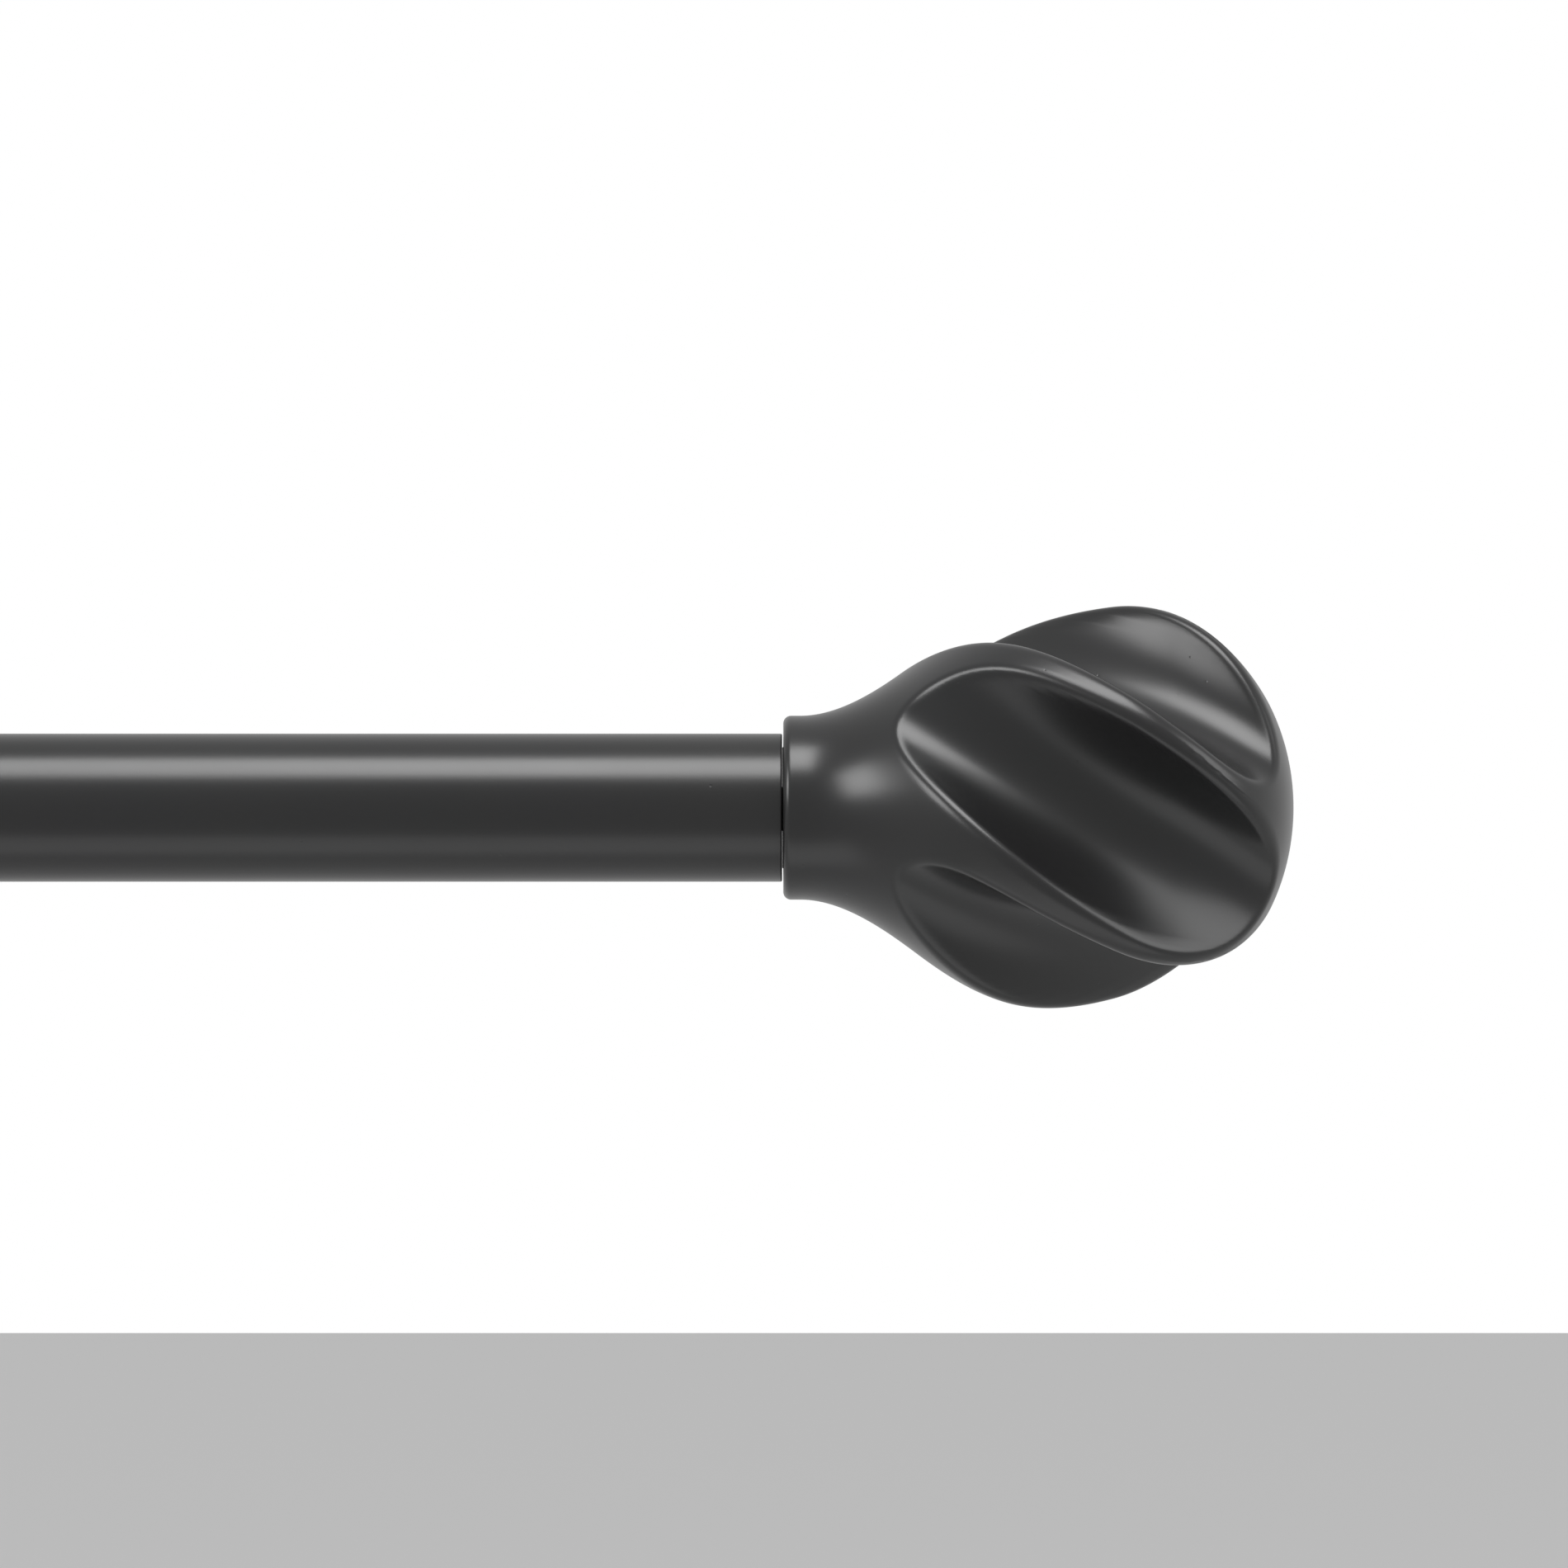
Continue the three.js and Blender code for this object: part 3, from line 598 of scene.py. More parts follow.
bushing_low, bushing_high, bushing_middle, bushing_size = measured("mouth_bushing")
lip_end = tube_low.x - SEAT - bushing_low.x
bushing_bore = inner_radius + RUNNING
bushing_body = outer_bore - SEAT
bushing_outline = rounded(
    [
        (bushing_bore, 0),
        (outer_radius, 0),
        (outer_radius, lip_end),
        (bushing_body, lip_end),
        (bushing_body, bushing_size.x),
        (bushing_bore, bushing_size.x),
    ],
    radius=0.0003,
)
bushing_start = Vector((bushing_low.x, rod_axis.y, rod_axis.z))
bushing_mesh = turned(bushing_outline, bushing_start, ALONG)
finished("bushing_fine", bushing_mesh, black_nylon, "black_nylon", "outer_rod", "mouth_bushing")


# ---------------------------------------------------------------- the tail glide
# A natural nylon plug in the inner tube's hidden end, whose lip runs along the outer tube's bore.

natural_nylon = moulded("natural_nylon_skin", (0.72, 0.69, 0.6), roughness=0.45, glow=0.25)

GLIDE_BORE = 0.0045
glide_low, glide_high, glide_middle, glide_size = measured("tail_glide")
glide_lip = inner_high.x + SEAT - glide_low.x
glide_body = inner_bore - SEAT
glide_outline = rounded(
    [
        (GLIDE_BORE, 0),
        (glide_body, 0),
        (glide_body, glide_lip),
        (glide_size.y / 2, glide_lip),
        (glide_size.y / 2, glide_size.x),
        (GLIDE_BORE, glide_size.x),
    ],
    radius=0.0004,
)
glide_start = Vector((glide_low.x, rod_axis.y, rod_axis.z))
glide_mesh = turned(glide_outline, glide_start, ALONG)
finished("glide_fine", glide_mesh, natural_nylon, "natural_nylon", "inner_rod", "tail_glide")


# ---------------------------------------------------------------- what holds the finials
# A zinc-plated threaded insert is pressed into each tube's end. A zinc-plated stud joins it to
# the finial, and a black nylon washer between the two keeps the finial from working loose.


def zinc_material():
    """Bright zinc plate with a drifting yellow and blue passivation and a fine matt grain."""
    material = bpy.data.materials.new("bright_zinc")
    material.use_nodes = True
    tree = material.node_tree
    nodes, links = tree.nodes, tree.links
    shader = nodes["Principled BSDF"]
    shader.inputs["Metallic"].default_value = 1
    place = nodes.new("ShaderNodeTexCoord")
    cloud = noise(tree, place, scale=300, detail=3)
    tint = nodes.new("ShaderNodeValToRGB")
    tint.color_ramp.elements[0].position = 0.3
    tint.color_ramp.elements[0].color = (0.58, 0.6, 0.64, 1)
    tint.color_ramp.elements[1].position = 0.7
    tint.color_ramp.elements[1].color = (0.68, 0.66, 0.6, 1)
    links.new(cloud.outputs[0], tint.inputs[0])
    links.new(tint.outputs[0], shader.inputs["Base Color"])
    gloss = nodes.new("ShaderNodeMapRange")
    gloss.inputs["To Min"].default_value = 0.22
    gloss.inputs["To Max"].default_value = 0.42
    links.new(cloud.outputs[0], gloss.inputs["Value"])
    links.new(gloss.outputs[0], shader.inputs["Roughness"])
    grain = noise(tree, place, scale=9000, detail=2)
    relief = bump(tree, grain.outputs[0], strength=0.2, distance=0.000005)
    links.new(relief.outputs[0], shader.inputs["Normal"])
    return material


def thread(first, last, pitch, cut):
    """A shape for turned() that cuts a thread between two distances along a shank.

    Cut is the thread's depth as a share of the shank's radius. It fades out at both ends."""

    def shape(radius, along, angle):
        if first < along < last:
            phase = (along / pitch - angle / (2 * math.pi)) % 1
            tooth = min(1, 1.5 * (1 - abs(2 * phase - 1)))
            fade = min(1, (along - first) / pitch, (last - along) / pitch)
            radius *= 1 - cut * (1 - tooth * fade)
        return radius, angle

    return shape


THREAD_ROWS = 8  # rows of points in each turn of a thread


def shank_rows(radius, first, last, pitch):
    """Points along a shank, close enough together to be cut into a thread."""
    count = round((last - first) / pitch * THREAD_ROWS)
    return [(radius, first + (last - first) * i / count) for i in range(1, count)]


bright_zinc = zinc_material()

STUD_EDGE = 0.0005
STUD_PITCH = 0.001
PLUG_EDGE = 0.0004
WASHER_EDGE = 0.0001

for side, inner_body in (("right", "outer_rod"), ("left", "inner_rod")):
    low, high, middle, size = measured(f"{side}_end_plug")
    plug_mesh = pipe(size.y / 2, stud_radius + RUNNING, low, high, PLUG_EDGE)
    node = f"{side}_end_plug"
    finished(f"{node}_fine", plug_mesh, bright_zinc, "zinc_plate", inner_body, node)

    low, high, middle, size = measured(f"{side}_finial_stud")
    stud_outline = [
        (0, 0),
        (stud_radius - STUD_EDGE, 0),
        (stud_radius, STUD_EDGE),
        *shank_rows(stud_radius, STUD_EDGE, size.x - STUD_EDGE, STUD_PITCH),
        (stud_radius, size.x - STUD_EDGE),
        (stud_radius - STUD_EDGE, size.x),
        (0, size.x),
    ]
    stud_start = Vector((low.x, rod_axis.y, rod_axis.z))
    stud_thread = thread(STUD_EDGE, size.x - STUD_EDGE, STUD_PITCH, cut=0.18)
    stud_mesh = turned(stud_outline, stud_start, ALONG, SMALL_ROUND, stud_thread)
    node = f"{side}_finial_stud"
    finished(f"{node}_fine", stud_mesh, bright_zinc, "zinc_plate", f"{side}_finial_end", node)

    low, high, middle, size = measured(f"{side}_finial_washer")
    washer_bore = stud_radius + 3 * RUNNING
    washer_mesh = pipe(size.y / 2, washer_bore, low, high, WASHER_EDGE)
    node = f"{side}_finial_washer"
    finished(f"{node}_fine", washer_mesh, black_nylon, "black_nylon", f"{side}_finial_seat", node)


# ---------------------------------------------------------------- the wall plates
# Stamped steel plates with round ends and two screw holes, their edges broken by tumbling, and
# coated like the tube.

ARC_FACETS = 48  # in half a circle


def arc(x, y, radius, first, last, facets=ARC_FACETS):
    """Points on an arc about (x, y) between two angles in degrees, both ends included."""
    angles = [math.radians(first + (last - first) * i / facets) for i in range(facets + 1)]
    return [(x + radius * math.cos(a), y + radius * math.sin(a)) for a in angles]


def slab(loops, thickness, steps=4):
    """A flat piece from z = 0 up to its thickness, with rounded edges.

    Each loop is its points, a function for the way into the material and its edge's radius."""
    bm = bmesh.new()
    ends = [[], []]
    for points, inward, edge in loops:
        quarter = [math.pi / 2 * i / steps for i in range(steps + 1)]
        rise = [(edge * (1 - math.sin(a)), edge * (1 - math.cos(a))) for a in quarter]
        rise.insert(0, (edge + FLAT_MARGIN, 0))
        profile = rise + [(inset, thickness - height) for inset, height in reversed(rise)]
        verts = [bm.verts.new((x, y, 0)) for x, y in points]
        edges = [bm.edges.new((verts[i - 1], verts[i])) for i in range(len(verts))]
        ends[0] += edges
        before = 0
        for number, (inset, height) in enumerate(profile):
            if number:
                made = bmesh.ops.extrude_edge_only(bm, edges=edges)["geom"]
                verts = [item for item in made if isinstance(item, bmesh.types.BMVert)]
                edges = [item for item in made if isinstance(item, bmesh.types.BMEdge)]
            for vert in verts:
                vert.co += (inset - before) * inward(vert.co)
                vert.co.z = height
            before = inset
        ends[1] += edges
    for edges in ends:
        bmesh.ops.triangle_fill(bm, use_beauty=True, edges=edges)
    bmesh.ops.recalc_face_normals(bm, faces=bm.faces)
    return bm


def hole(x, y, radius, edge):
    """A loop for slab() that cuts a round hole."""

    def inward(spot):
        return Vector((spot.x - x, spot.y - y, 0)).normalized()

    return arc(x, y, radius, 0, 360)[:-1], inward, edge


PLATE_EDGE = 0.0006
PLATE_HOLE_EDGE = 0.0002
PLATE_HOLE_ROOM = 0.0005


def wall_plate(side):
    low, high, middle, size = measured(f"{side}_wall_plate")
    screw = measured(f"{side}_upper_wall_screw")
    hole_height = screw[2].z - middle.z
    hole_radius = screw[3].x / 4 + PLATE_HOLE_ROOM  # a screw's head is twice its shank's width
    round_end = size.x / 2
    straight = size.z / 2 - round_end

    def inward(spot):
        nearest = Vector((0, max(-straight, min(straight, spot.y)), 0))
        return (nearest - Vector((spot.x, spot.y, 0))).normalized()

    outline = arc(0, straight, round_end, 0, 180) + arc(0, -straight, round_end, 180, 360)
    holes = [hole(0, y, hole_radius, PLATE_HOLE_EDGE) for y in (hole_height, -hole_height)]
    bm = slab([(outline, inward, PLATE_EDGE), *holes], size.y)
    return placed(bm, Vector((middle.x, high.y, middle.z)), (ALONG, UP, TO_ROOM))


for side in ("right", "left"):
    node = f"{side}_wall_plate"
    plate_mesh = wall_plate(side)
    finished(f"{node}_fine", plate_mesh, graphite_tube, "graphite_steel", f"{side}_mount", node)


# ---------------------------------------------------------------- the arm sleeves
# A turned steel sleeve stands on each plate on a flared foot. A boss welded under it takes the
# thumb screw that locks the arm.


def combined(*meshes):
    """Puts several meshes into the first."""
    for other in meshes[1:]:
        data = bpy.data.meshes.new("joined")
        other.to_mesh(data)
        other.free()
        meshes[0].from_mesh(data)
        bpy.data.meshes.remove(data)
    return meshes[0]


SLEEVE_FLARE = 0.004  # the foot beyond the sleeve
FOOT_THICKNESS = 0.002
FILLET_STEPS = 12
FOOT_EDGE = 0.0005
SLEEVE_EDGE = 0.0007
SHANK_RADIUS = 0.0025  # of the thumb screws
SCREW_BOSS_WALL = 0.0025
BOSS_EDGE = 0.0006
BOSS_ROOT = 0.0054  # from the sleeve's axis, inside its wall


def arm_sleeve(side):
    low, high, middle, size = measured(f"{side}_arm_sleeve")
    arm = measured(f"{side}_arm")
    axis = Vector((arm[2].x, high.y, arm[2].z))
    bore = arm[3].x / 2 + RUNNING
    foot = size.x / 2
    radius = foot - SLEEVE_FLARE
    fillet = []
    for i in range(FILLET_STEPS + 1):
        turn = math.pi / 2 * i / FILLET_STEPS
        rise = FOOT_THICKNESS + SLEEVE_FLARE * (1 - math.cos(turn))
        fillet.append((radius + SLEEVE_FLARE * (1 - math.sin(turn)), rise))
    foot_end = rounded([(bore, 0), (foot, 0), (foot, FOOT_THICKNESS), (radius, size.y)], FOOT_EDGE)
    foot_points = [point for point in foot_end if point[0] > radius and point[1] <= FOOT_THICKNESS]
    mouth = rounded([(bore, 0), (radius, 0), (radius, size.y), (bore, size.y)], SLEEVE_EDGE)
    mouth_points = [point for point in mouth if point[1] > size.y / 2]
    outline = [(bore, 0)] + foot_points + fillet[1:] + mouth_points
    body = turned(outline, axis, TO_ROOM)

    screw = measured(f"{side}_lock_tip")
    reach = axis.z - low.z
    screw_bore = SHANK_RADIUS + RUNNING
    outer = SHANK_RADIUS + SCREW_BOSS_WALL
    corners = [(screw_bore, BOSS_ROOT), (outer, BOSS_ROOT), (outer, reach), (screw_bore, reach)]
    boss_start = Vector((axis.x, screw[2].y, axis.z))
    boss = turned(rounded(corners, BOSS_EDGE), boss_start, DOWN, SMALL_ROUND)
    return combined(body, boss)


for side in ("right", "left"):
    node = f"{side}_arm_sleeve"
    sleeve_mesh = arm_sleeve(side)
    finished(f"{node}_fine", sleeve_mesh, graphite_tube, "graphite_steel", f"{side}_mount", node)


# ---------------------------------------------------------------- the arms
# A round steel bar slides in each sleeve. Its front end is tapped for the cradle's screw.

ARM_EDGE = 0.0005
ARM_TAP = (0.00205, 0.01)  # radius and depth

for side in ("right", "left"):
    low, high, middle, size = measured(f"{side}_arm")
    arm_radius = size.x / 2
    arm_outline = rounded(
        [
            (0, 0),
            (arm_radius, 0),
            (arm_radius, size.y),
            (ARM_TAP[0], size.y),
            (ARM_TAP[0], size.y - ARM_TAP[1]),
            (0, size.y - ARM_TAP[1]),
        ],
        ARM_EDGE,
    )
    arm_start = Vector((middle.x, high.y, middle.z))
    arm_mesh = turned(arm_outline, arm_start, TO_ROOM, SMALL_ROUND)
    node = f"{side}_arm"
    finished(f"{node}_fine", arm_mesh, graphite_tube, "graphite_steel", f"{side}_arm_set", node)


# ---------------------------------------------------------------- the cradles
# A strap bent into a U carries the rod. A hub brazed to its back takes the arm and a boss on its
# front takes the thumb screw that clamps the rod. The whole cradle is coated in graphite.

graphite_cast = coated("graphite_cast", GRAPHITE, roughness=0.34, peel_size=0.00035)

CRADLE_WALL = 0.0026
CRADLE_EDGE = 0.0008
HUB_WALL = 0.00225
HUB_SOCKET = 0.007
CLAMP_BOSS_DROP = 0.0017
HEAD_HOLE = 0.0039  # in the strap, for the head of the screw to the arm
HEAD_TAPER = 0.0012  # how much narrower the head is where it enters the hub
HEAD_DEPTH = 0.00065  # how far it goes into the hub
CLAMP_HOLE = 0.0029  # in the strap, for the thumb screw
STRAP_HOLE_EDGE = 0.0002
STRAP_CORNER = 0.003
CORNER_FACETS = 12
BENDS = 64  # cuts across the strap where it bends


def cradle(side):
    low, high, middle, size = measured(f"{side}_cradle")
    arm = measured(f"{side}_arm")
    centre = Vector((middle.x, rod_axis.y, arm[2].z))
    outer = centre.z - low.z
    bend_radius = outer - CRADLE_WALL / 2
    leg = high.z - centre.z
    half_bend = math.pi / 2 * bend_radius
    half_length = half_bend + leg

    # The flat strap runs along X, from the front leg to the back one, with its inside face up.
    half_width = size.x / 2
    corner_x, corner_y = half_length - STRAP_CORNER, half_width - STRAP_CORNER

    def inward(spot):
        nearest_x = max(-corner_x, min(corner_x, spot.x))
        nearest_y = max(-corner_y, min(corner_y, spot.y))
        return (Vector((nearest_x, nearest_y, 0)) - Vector((spot.x, spot.y, 0))).normalized()

    outline = []
    for quarter, (x, y) in enumerate(((1, 1), (-1, 1), (-1, -1), (1, -1))):
        first = 90 * quarter
        corner = x * corner_x, y * corner_y, STRAP_CORNER
        outline += arc(*corner, first, first + 90, CORNER_FACETS)
    clamp_hole = -half_bend + bend_radius * math.asin(CLAMP_BOSS_DROP / bend_radius)
    holes = [(clamp_hole, CLAMP_HOLE), (half_bend, HEAD_HOLE)]
    hole_loops = [hole(x, 0, radius, STRAP_HOLE_EDGE) for x, radius in holes]
    bm = slab([(outline, inward, CRADLE_EDGE), *hole_loops], CRADLE_WALL)
    for i in range(BENDS + 1):
        cut = Vector((half_bend * (2 * i / BENDS - 1), 0, 0))
        everything = bm.verts[:] + bm.edges[:] + bm.faces[:]
        bmesh.ops.bisect_plane(bm, geom=everything, plane_co=cut, plane_no=(1, 0, 0))
    for vert in bm.verts:
        run, across, lift = vert.co
        distance = outer - lift
        if abs(run) > half_bend:
            spot = Vector((math.copysign(distance, run), 0, abs(run) - half_bend))
        else:
            turn = run / bend_radius
            spot = Vector((distance * math.sin(turn), 0, -distance * math.cos(turn)))
        vert.co = Vector((across, spot.x, spot.z))
    strap = placed(bm, centre, (ALONG, TO_WALL, UP))

    arm_bore = arm[3].x / 2 + RUNNING
    hub_radius = arm[3].x / 2 + HUB_WALL
    hub_end = high.y - centre.y
    socket = hub_end - HUB_SOCKET
    hub_corners = [
        (HEAD_HOLE - HEAD_TAPER, bend_radius),
        (hub_radius, bend_radius),
        (hub_radius, hub_end),
        (arm_bore, hub_end),
        (arm_bore, socket),
        (ARM_TAP[0], socket),
        (ARM_TAP[0], bend_radius + HEAD_DEPTH),
    ]
    hub = turned(rounded(hub_corners, BOSS_EDGE), centre, TO_WALL, SMALL_ROUND)

    boss_radius = SHANK_RADIUS + SCREW_BOSS_WALL
    boss_end = centre.y - low.y
    screw_bore = SHANK_RADIUS + RUNNING
    boss_corners = [
        (screw_bore, bend_radius),
        (boss_radius, bend_radius),
        (boss_radius, boss_end),
        (screw_bore, boss_end),
    ]
    boss_start = centre + CLAMP_BOSS_DROP * DOWN
    boss = turned(rounded(boss_corners, BOSS_EDGE), boss_start, TO_ROOM, SMALL_ROUND)
    return combined(strap, hub, boss)


for side in ("right", "left"):
    node = f"{side}_cradle"
    cradle_mesh = cradle(side)
    finished(f"{node}_fine", cradle_mesh, graphite_cast, "graphite_casting", f"{side}_arm_set", node)


# ---------------------------------------------------------------- the cradle screws
# A zinc-plated flat-head socket screw joins each cradle to its arm.

CRADLE_SCREW_HEAD = 0.0019
CRADLE_SCREW_PITCH = 0.0007
CRADLE_SCREW_EDGE = 0.0003
HEX_SOCKET = (0.0014, 0.0012)  # radius at the corners and depth
SOCKET_FACETS = 72  # a multiple of six
SOCKET_CONE = 0.0003  # depth of the drill's cone under the socket
SOCKET_LEAD = 0.0001  # chamfer at the socket's mouth and the head's rim

for side in ("right", "left"):
    low, high, middle, size = measured(f"{side}_cradle_screw")
    shank = ARM_TAP[0] - RUNNING - SEAT
    shank_end = size.y - CRADLE_SCREW_EDGE
    screw_outline = [
        (0, HEX_SOCKET[1] + SOCKET_CONE),
        (HEX_SOCKET[0], HEX_SOCKET[1]),
        (HEX_SOCKET[0] + SOCKET_LEAD / 10, SOCKET_LEAD),
        (HEX_SOCKET[0] + SOCKET_LEAD, 0),
        (size.x / 2 - SOCKET_LEAD, 0),
        (size.x / 2, SOCKET_LEAD),
        (shank, CRADLE_SCREW_HEAD),
        *shank_rows(shank, CRADLE_SCREW_HEAD, shank_end, CRADLE_SCREW_PITCH),
        (shank, shank_end),
        (shank - CRADLE_SCREW_EDGE, size.y),
        (0, size.y),
    ]
    screw_thread = thread(CRADLE_SCREW_HEAD, size.y, CRADLE_SCREW_PITCH, cut=0.16)

    def socketed(radius, along, angle):
        if radius < HEX_SOCKET[0] + SOCKET_LEAD / 2 and along <= HEX_SOCKET[1] + SOCKET_LEAD:
            sixth = math.pi / 3
            turn = (angle + sixth / 2) % sixth - sixth / 2
            return radius * math.cos(sixth / 2) / math.cos(turn), angle
        return screw_thread(radius, along, angle)

    screw_start = Vector((middle.x, low.y, middle.z))
    screw_mesh = turned(screw_outline, screw_start, TO_WALL, SOCKET_FACETS, socketed)
    node = f"{side}_cradle_screw"
    finished(f"{node}_fine", screw_mesh, bright_zinc, "zinc_plate", f"{side}_arm_set", node)


# ---------------------------------------------------------------- the thumb screws
# Each has a fluted steel knob on a threaded shank, coated like the brackets, with a natural
# nylon tip pressed into its end so that it cannot mark the rod or the arm.

KNOB_RADIUS = 0.0065
KNOB_LENGTH = 0.007
KNOB_EDGE = 0.0009
FLUTE_COUNT = 8
FLUTE_DEPTH = 0.0009
SHANK_PITCH = 0.0008
TIP_PIN = (0.0011, 0.0015)  # radius and length
TIP_LENGTH = 0.0025
TIP_EDGE = 0.00035
SHANK_EDGE = 0.0003
KNOB_DISH = (0.0016, 0.0004)  # the dished end's rim and depth


def thumb_screw(start, way, shank):
    """A thumb screw whose threaded end is at start and whose knob lies along way."""
    pin_hole, pin_depth = TIP_PIN[0] + RUNNING, TIP_PIN[1] + RUNNING
    outline = [
        (0, pin_depth),
        (pin_hole, pin_depth),
        (pin_hole, 0),
        (SHANK_RADIUS - SHANK_EDGE, 0),
        (SHANK_RADIUS, SHANK_EDGE),
        *shank_rows(SHANK_RADIUS, SHANK_EDGE, shank, SHANK_PITCH),
        (SHANK_RADIUS, shank),
        (SHANK_RADIUS, shank + KNOB_EDGE),
        (0, shank + KNOB_EDGE),
    ]
    screw_thread = thread(SHANK_EDGE, shank + SHANK_PITCH / 2, SHANK_PITCH, cut=0.16)

    def shape(radius, along, angle):
        if radius < SHANK_RADIUS - SHANK_EDGE - RUNNING:
            return radius, angle
        return screw_thread(radius, along, angle)

    screw = turned(outline, start, way, SMALL_ROUND, shape)

    rim, dish = KNOB_DISH
    end = KNOB_LENGTH
    hub = KNOB_RADIUS - FLUTE_DEPTH - rim
    knob_corners = [
        (0, 0),
        (KNOB_RADIUS, 0),
        (KNOB_RADIUS, end),
        (hub, end),
        (hub - dish, end - dish),
        (0, end - dish),
    ]
    knob_outline = rounded(knob_corners, KNOB_EDGE)

    def fluted(radius, along, angle):
        dip = FLUTE_DEPTH * (1 - math.cos(FLUTE_COUNT * angle)) / 2
        share = max(0, min(1, (radius - hub) / (KNOB_RADIUS - hub)))
        return radius - dip * share, angle

    knob = turned(knob_outline, start + shank * way, way, 16 * FLUTE_COUNT, fluted)
    return combined(screw, knob)


def screw_tip(start, way, radius):
    """The nylon tip from the face that bears."""
    corners = [
        (0, 0),
        (radius, 0),
        (radius, TIP_LENGTH),
        (TIP_PIN[0], TIP_LENGTH),
        (TIP_PIN[0], TIP_LENGTH + TIP_PIN[1]),
        (0, TIP_LENGTH + TIP_PIN[1]),
    ]
    return turned(rounded(corners, TIP_EDGE), start, way, SMALL_ROUND)


def inner_end(node, way):
    """The middle of a node's end that is hindmost along way."""
    low, high, middle, size = measured(node)
    return middle - abs(size.dot(way)) / 2 * way


for side in ("right", "left"):
    for job, way in (("clamp", TO_ROOM), ("lock", DOWN)):
        node = f"{side}_{job}_screw"
        length = abs(measured(node)[3].dot(way))
        screw_mesh = thumb_screw(inner_end(node, way), way, length - KNOB_LENGTH)
        body = f"{side}_{job}_knob"
        finished(f"{node}_fine", screw_mesh, graphite_cast, "graphite_steel", body, node)

        node = f"{side}_{job}_tip"
        tip_mesh = screw_tip(inner_end(node, way), way, measured(node)[3].x / 2)
        body = f"{side}_{job}_foot"
        finished(f"{node}_fine", tip_mesh, natural_nylon, "natural_nylon", body, node)


# ---------------------------------------------------------------- the wall screws
# Zinc-plated round-head wood screws with a cross recess and a coarse thread.

WALL_SCREW_RADIUS = 0.002
WALL_SCREW_PITCH = 0.0018
WALL_SCREW_POINT = 0.004
WALL_SCREW_HEAD = (0.004, 0.0026)  # radius and length
WALL_SCREW_PLAIN = 0.0025  # of the shank under the head, without a thread
CROSS = (0.0022, 0.0009, 0.0013)  # reach, width and depth
CROSS_WALL = 0.00025  # how far its walls slope
CROSS_RISE = 0.35  # how much shallower it is at its ends
HEAD_ROWS = 28
HEAD_FACETS = 96
POINT_ROWS = 16
HEAD_RIM = 0.0002  # the recess stays above this much of the head


def crossed(radius, angle):
    """How far the cross recess sinks at a point of the head."""
    reach, width, depth = CROSS
    x, y = abs(radius * math.cos(angle)), abs(radius * math.sin(angle))
    beside, ahead = min(x, y), max(x, y)
    across = max(0, min(1, (width / 2 - beside) / CROSS_WALL + 0.5))
    end = max(0, min(1, (reach - ahead) / (2 * CROSS_WALL)))
    return depth * across * end * (1 - CROSS_RISE * ahead / reach)


def wall_screw(start):
    """A wall screw from the face under its head, pointing into the wall."""
    head_radius, head_length = WALL_SCREW_HEAD
    total = measured("right_upper_wall_screw")[3].y
    length = total - head_length
    head_turns = [math.pi / 2 * i / HEAD_ROWS for i in range(HEAD_ROWS + 1)]
    head = [(head_radius * math.sin(a), -head_length * math.cos(a)) for a in head_turns]
    straight_end = length - WALL_SCREW_POINT
    rows = shank_rows(WALL_SCREW_RADIUS, 0, straight_end, WALL_SCREW_PITCH)
    shares = [i / POINT_ROWS for i in range(POINT_ROWS + 1)]
    point = [
        (WALL_SCREW_RADIUS * (1 - share), straight_end + WALL_SCREW_POINT * share)
        for share in shares
    ]
    outline = head + [(WALL_SCREW_RADIUS, 0)] + rows + point
    outline[-1] = (0, length)
    cut = thread(WALL_SCREW_PLAIN, length, WALL_SCREW_PITCH, cut=0.3)
    bm = turned(outline, Vector(), UP, HEAD_FACETS, cut)
    for vert in bm.verts:
        if vert.co.z < -HEAD_RIM:
            radius = math.hypot(vert.co.x, vert.co.y)
            vert.co.z += crossed(radius, math.atan2(vert.co.y, vert.co.x))
    return placed(bm, start, (ALONG, DOWN, TO_WALL))


for side in ("right", "left"):
    for level in ("upper", "lower"):
        node = f"{side}_{level}_wall_screw"
        low, high, middle, size = measured(node)
        start = Vector((middle.x, low.y + WALL_SCREW_HEAD[1], middle.z))
        screw_mesh = wall_screw(start)
        finished(f"{node}_fine", screw_mesh, bright_zinc, "zinc_plate", f"{side}_mount", node)


# ---------------------------------------------------------------- the wall anchors
# Moulded plastic plugs with rounded ribs. Each is slit from its far end, so that its two legs
# spread when the screw goes in.

ANCHOR_BORE = 0.00215
ANCHOR_RIBS = 3
ANCHOR_RIB_DEPTH = 0.0005
ANCHOR_NOSE = 0.003
ANCHOR_SLIT = (0.0009, 0.015)  # width and length
ANCHOR_OVERLAP = 0.00002  # of the legs into the ring
LEG_STEPS = 28

anchor_plastic = moulded("anchor_plastic_skin", (0.3, 0.32, 0.34), roughness=0.5)


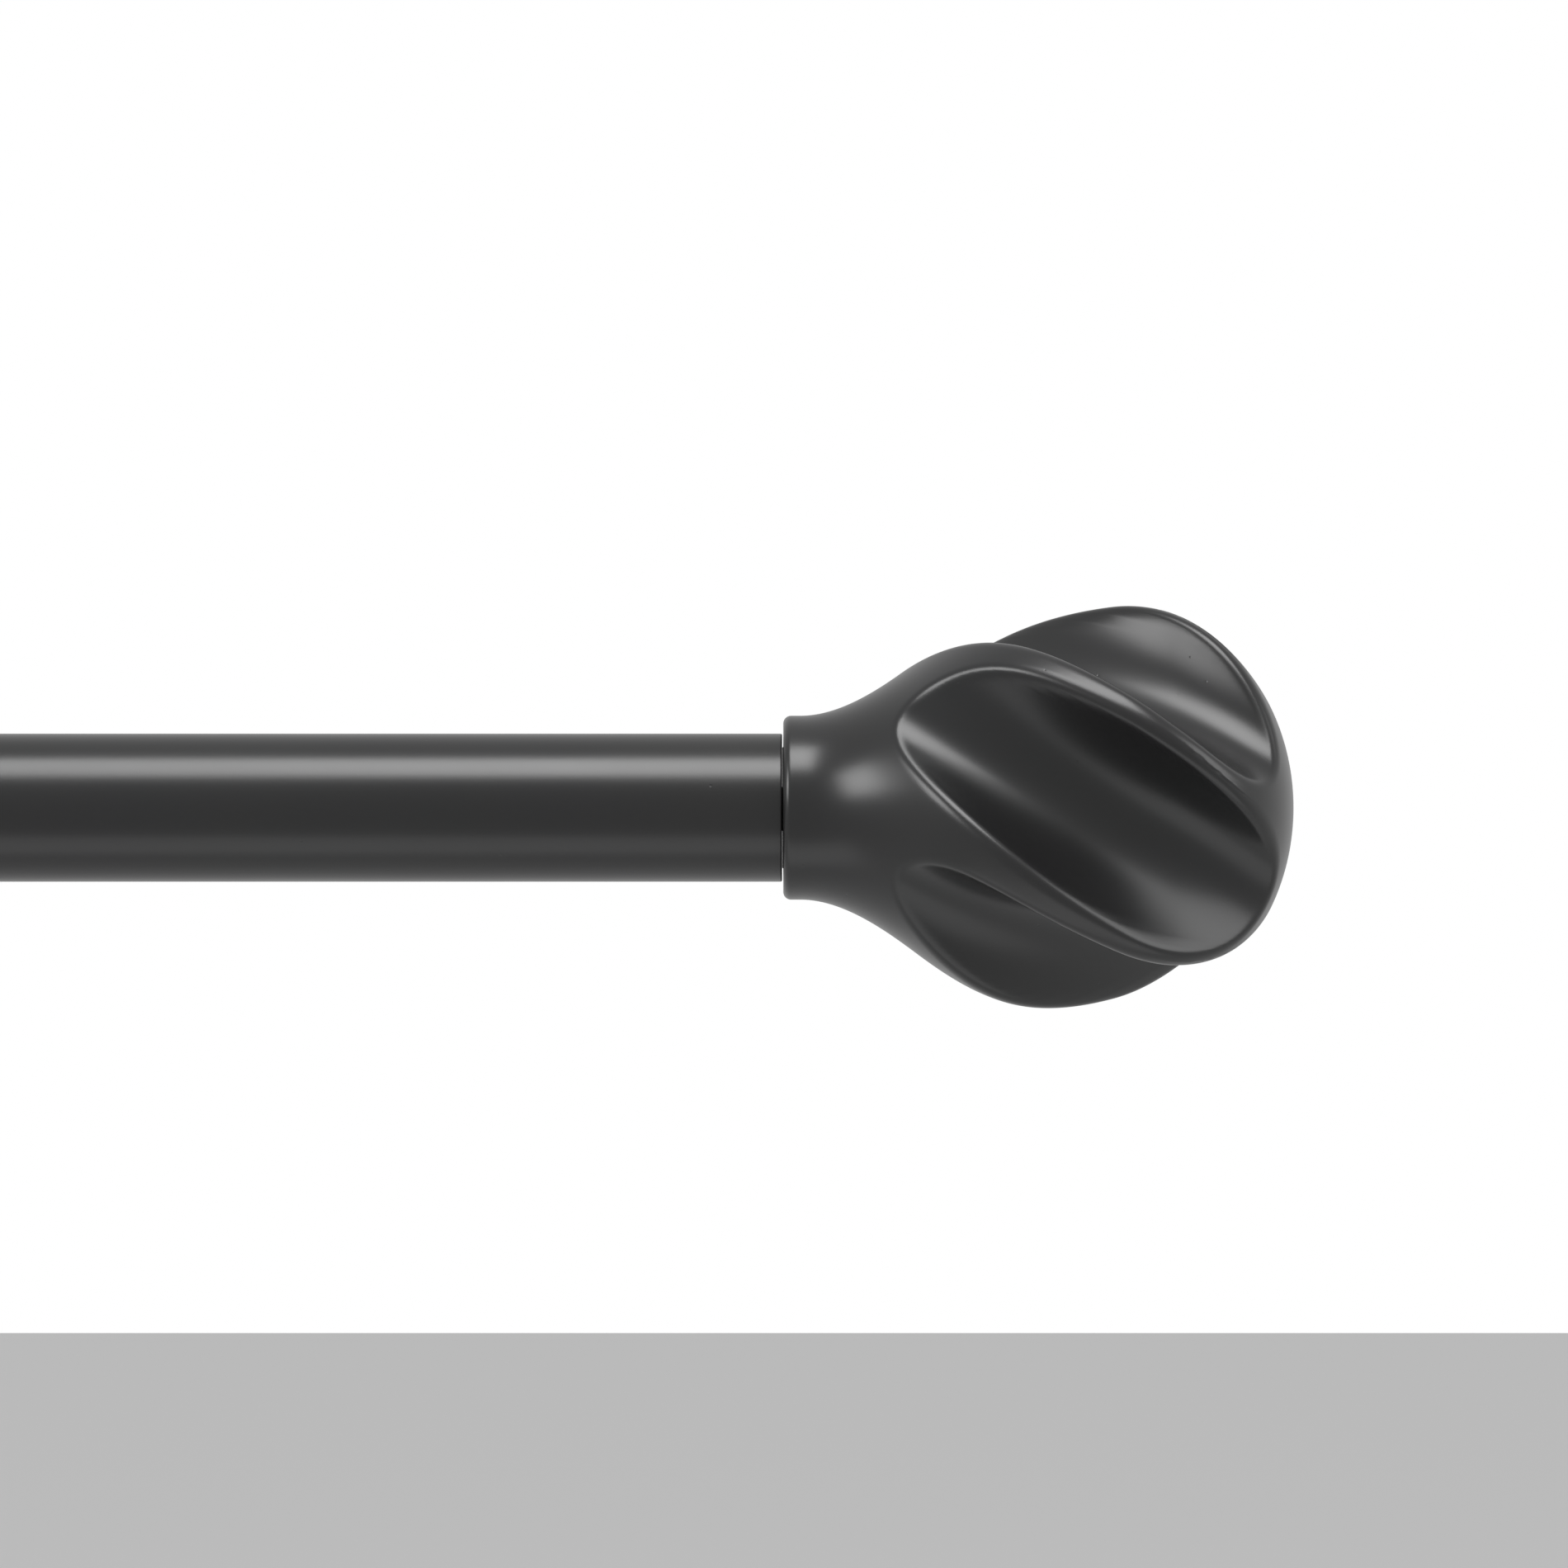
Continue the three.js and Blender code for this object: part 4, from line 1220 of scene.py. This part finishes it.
def anchor_radius(along, radius, length):
    """The ribbed outside of an anchor, and its tapered nose."""
    body = length - ANCHOR_NOSE
    if along > body:
        tip = ANCHOR_BORE + ANCHOR_RIB_DEPTH
        return radius + (tip - radius) * (along - body) / ANCHOR_NOSE
    wave = math.sin(2 * math.pi * along / (body / ANCHOR_RIBS))
    return radius - ANCHOR_RIB_DEPTH / 2 * (1 - max(-1, min(1, 3 * wave + 0.6)))


def anchor_section(radius, length, first, last, rows):
    """The wall of an anchor between two distances along it, as a closed outline."""
    steps = [first + (last - first) * i / rows for i in range(rows + 1)]
    outside = [(anchor_radius(along, radius, length), along) for along in steps]
    return [(ANCHOR_BORE, first)] + outside + [(ANCHOR_BORE, last)]


def anchor_leg(outline, middle_angle):
    """Half a ring with flat sides, on one side of the slit."""
    gap = 2 * math.asin(ANCHOR_SLIT[0] / 2 / (ANCHOR_BORE + 2 * ANCHOR_RIB_DEPTH))
    sweep = math.pi - gap
    bm = bmesh.new()
    points = [bm.verts.new((radius, 0, along)) for radius, along in outline]
    edges = [bm.edges.new((points[i - 1], points[i])) for i in range(len(points))]
    start = Matrix.Rotation(middle_angle - sweep / 2, 4, UP)
    bmesh.ops.transform(bm, matrix=start, verts=bm.verts)
    face = bmesh.ops.contextual_create(bm, geom=edges)["faces"]
    everything = points + edges + face
    bmesh.ops.spin(bm, geom=everything, axis=UP, cent=(0, 0, 0), angle=sweep, steps=LEG_STEPS)
    bmesh.ops.remove_doubles(bm, verts=bm.verts, dist=WELD)
    bmesh.ops.recalc_face_normals(bm, faces=bm.faces)
    return bm


def wall_anchor(side, level):
    low, high, middle, size = measured(f"{side}_{level}_wall_anchor")
    radius, length = size.x / 2, size.y
    slit_start = length - ANCHOR_SLIT[1]
    ring_outline = anchor_section(radius, length, 0, slit_start, rows=40)
    ring = turned(ring_outline, Vector(), UP, SMALL_ROUND)
    leg_outline = anchor_section(radius, length, slit_start - ANCHOR_OVERLAP, length, rows=60)
    legs = [anchor_leg(leg_outline, angle) for angle in (0, math.pi)]
    bm = combined(ring, *legs)
    return placed(bm, Vector((middle.x, low.y, middle.z)), (UP, ALONG, TO_WALL))


for side in ("right", "left"):
    for level in ("upper", "lower"):
        node = f"{side}_{level}_wall_anchor"
        anchor_mesh = wall_anchor(side, level)
        body = f"{side}_mount"
        finished(f"{node}_fine", anchor_mesh, anchor_plastic, "anchor_plastic", body, node)
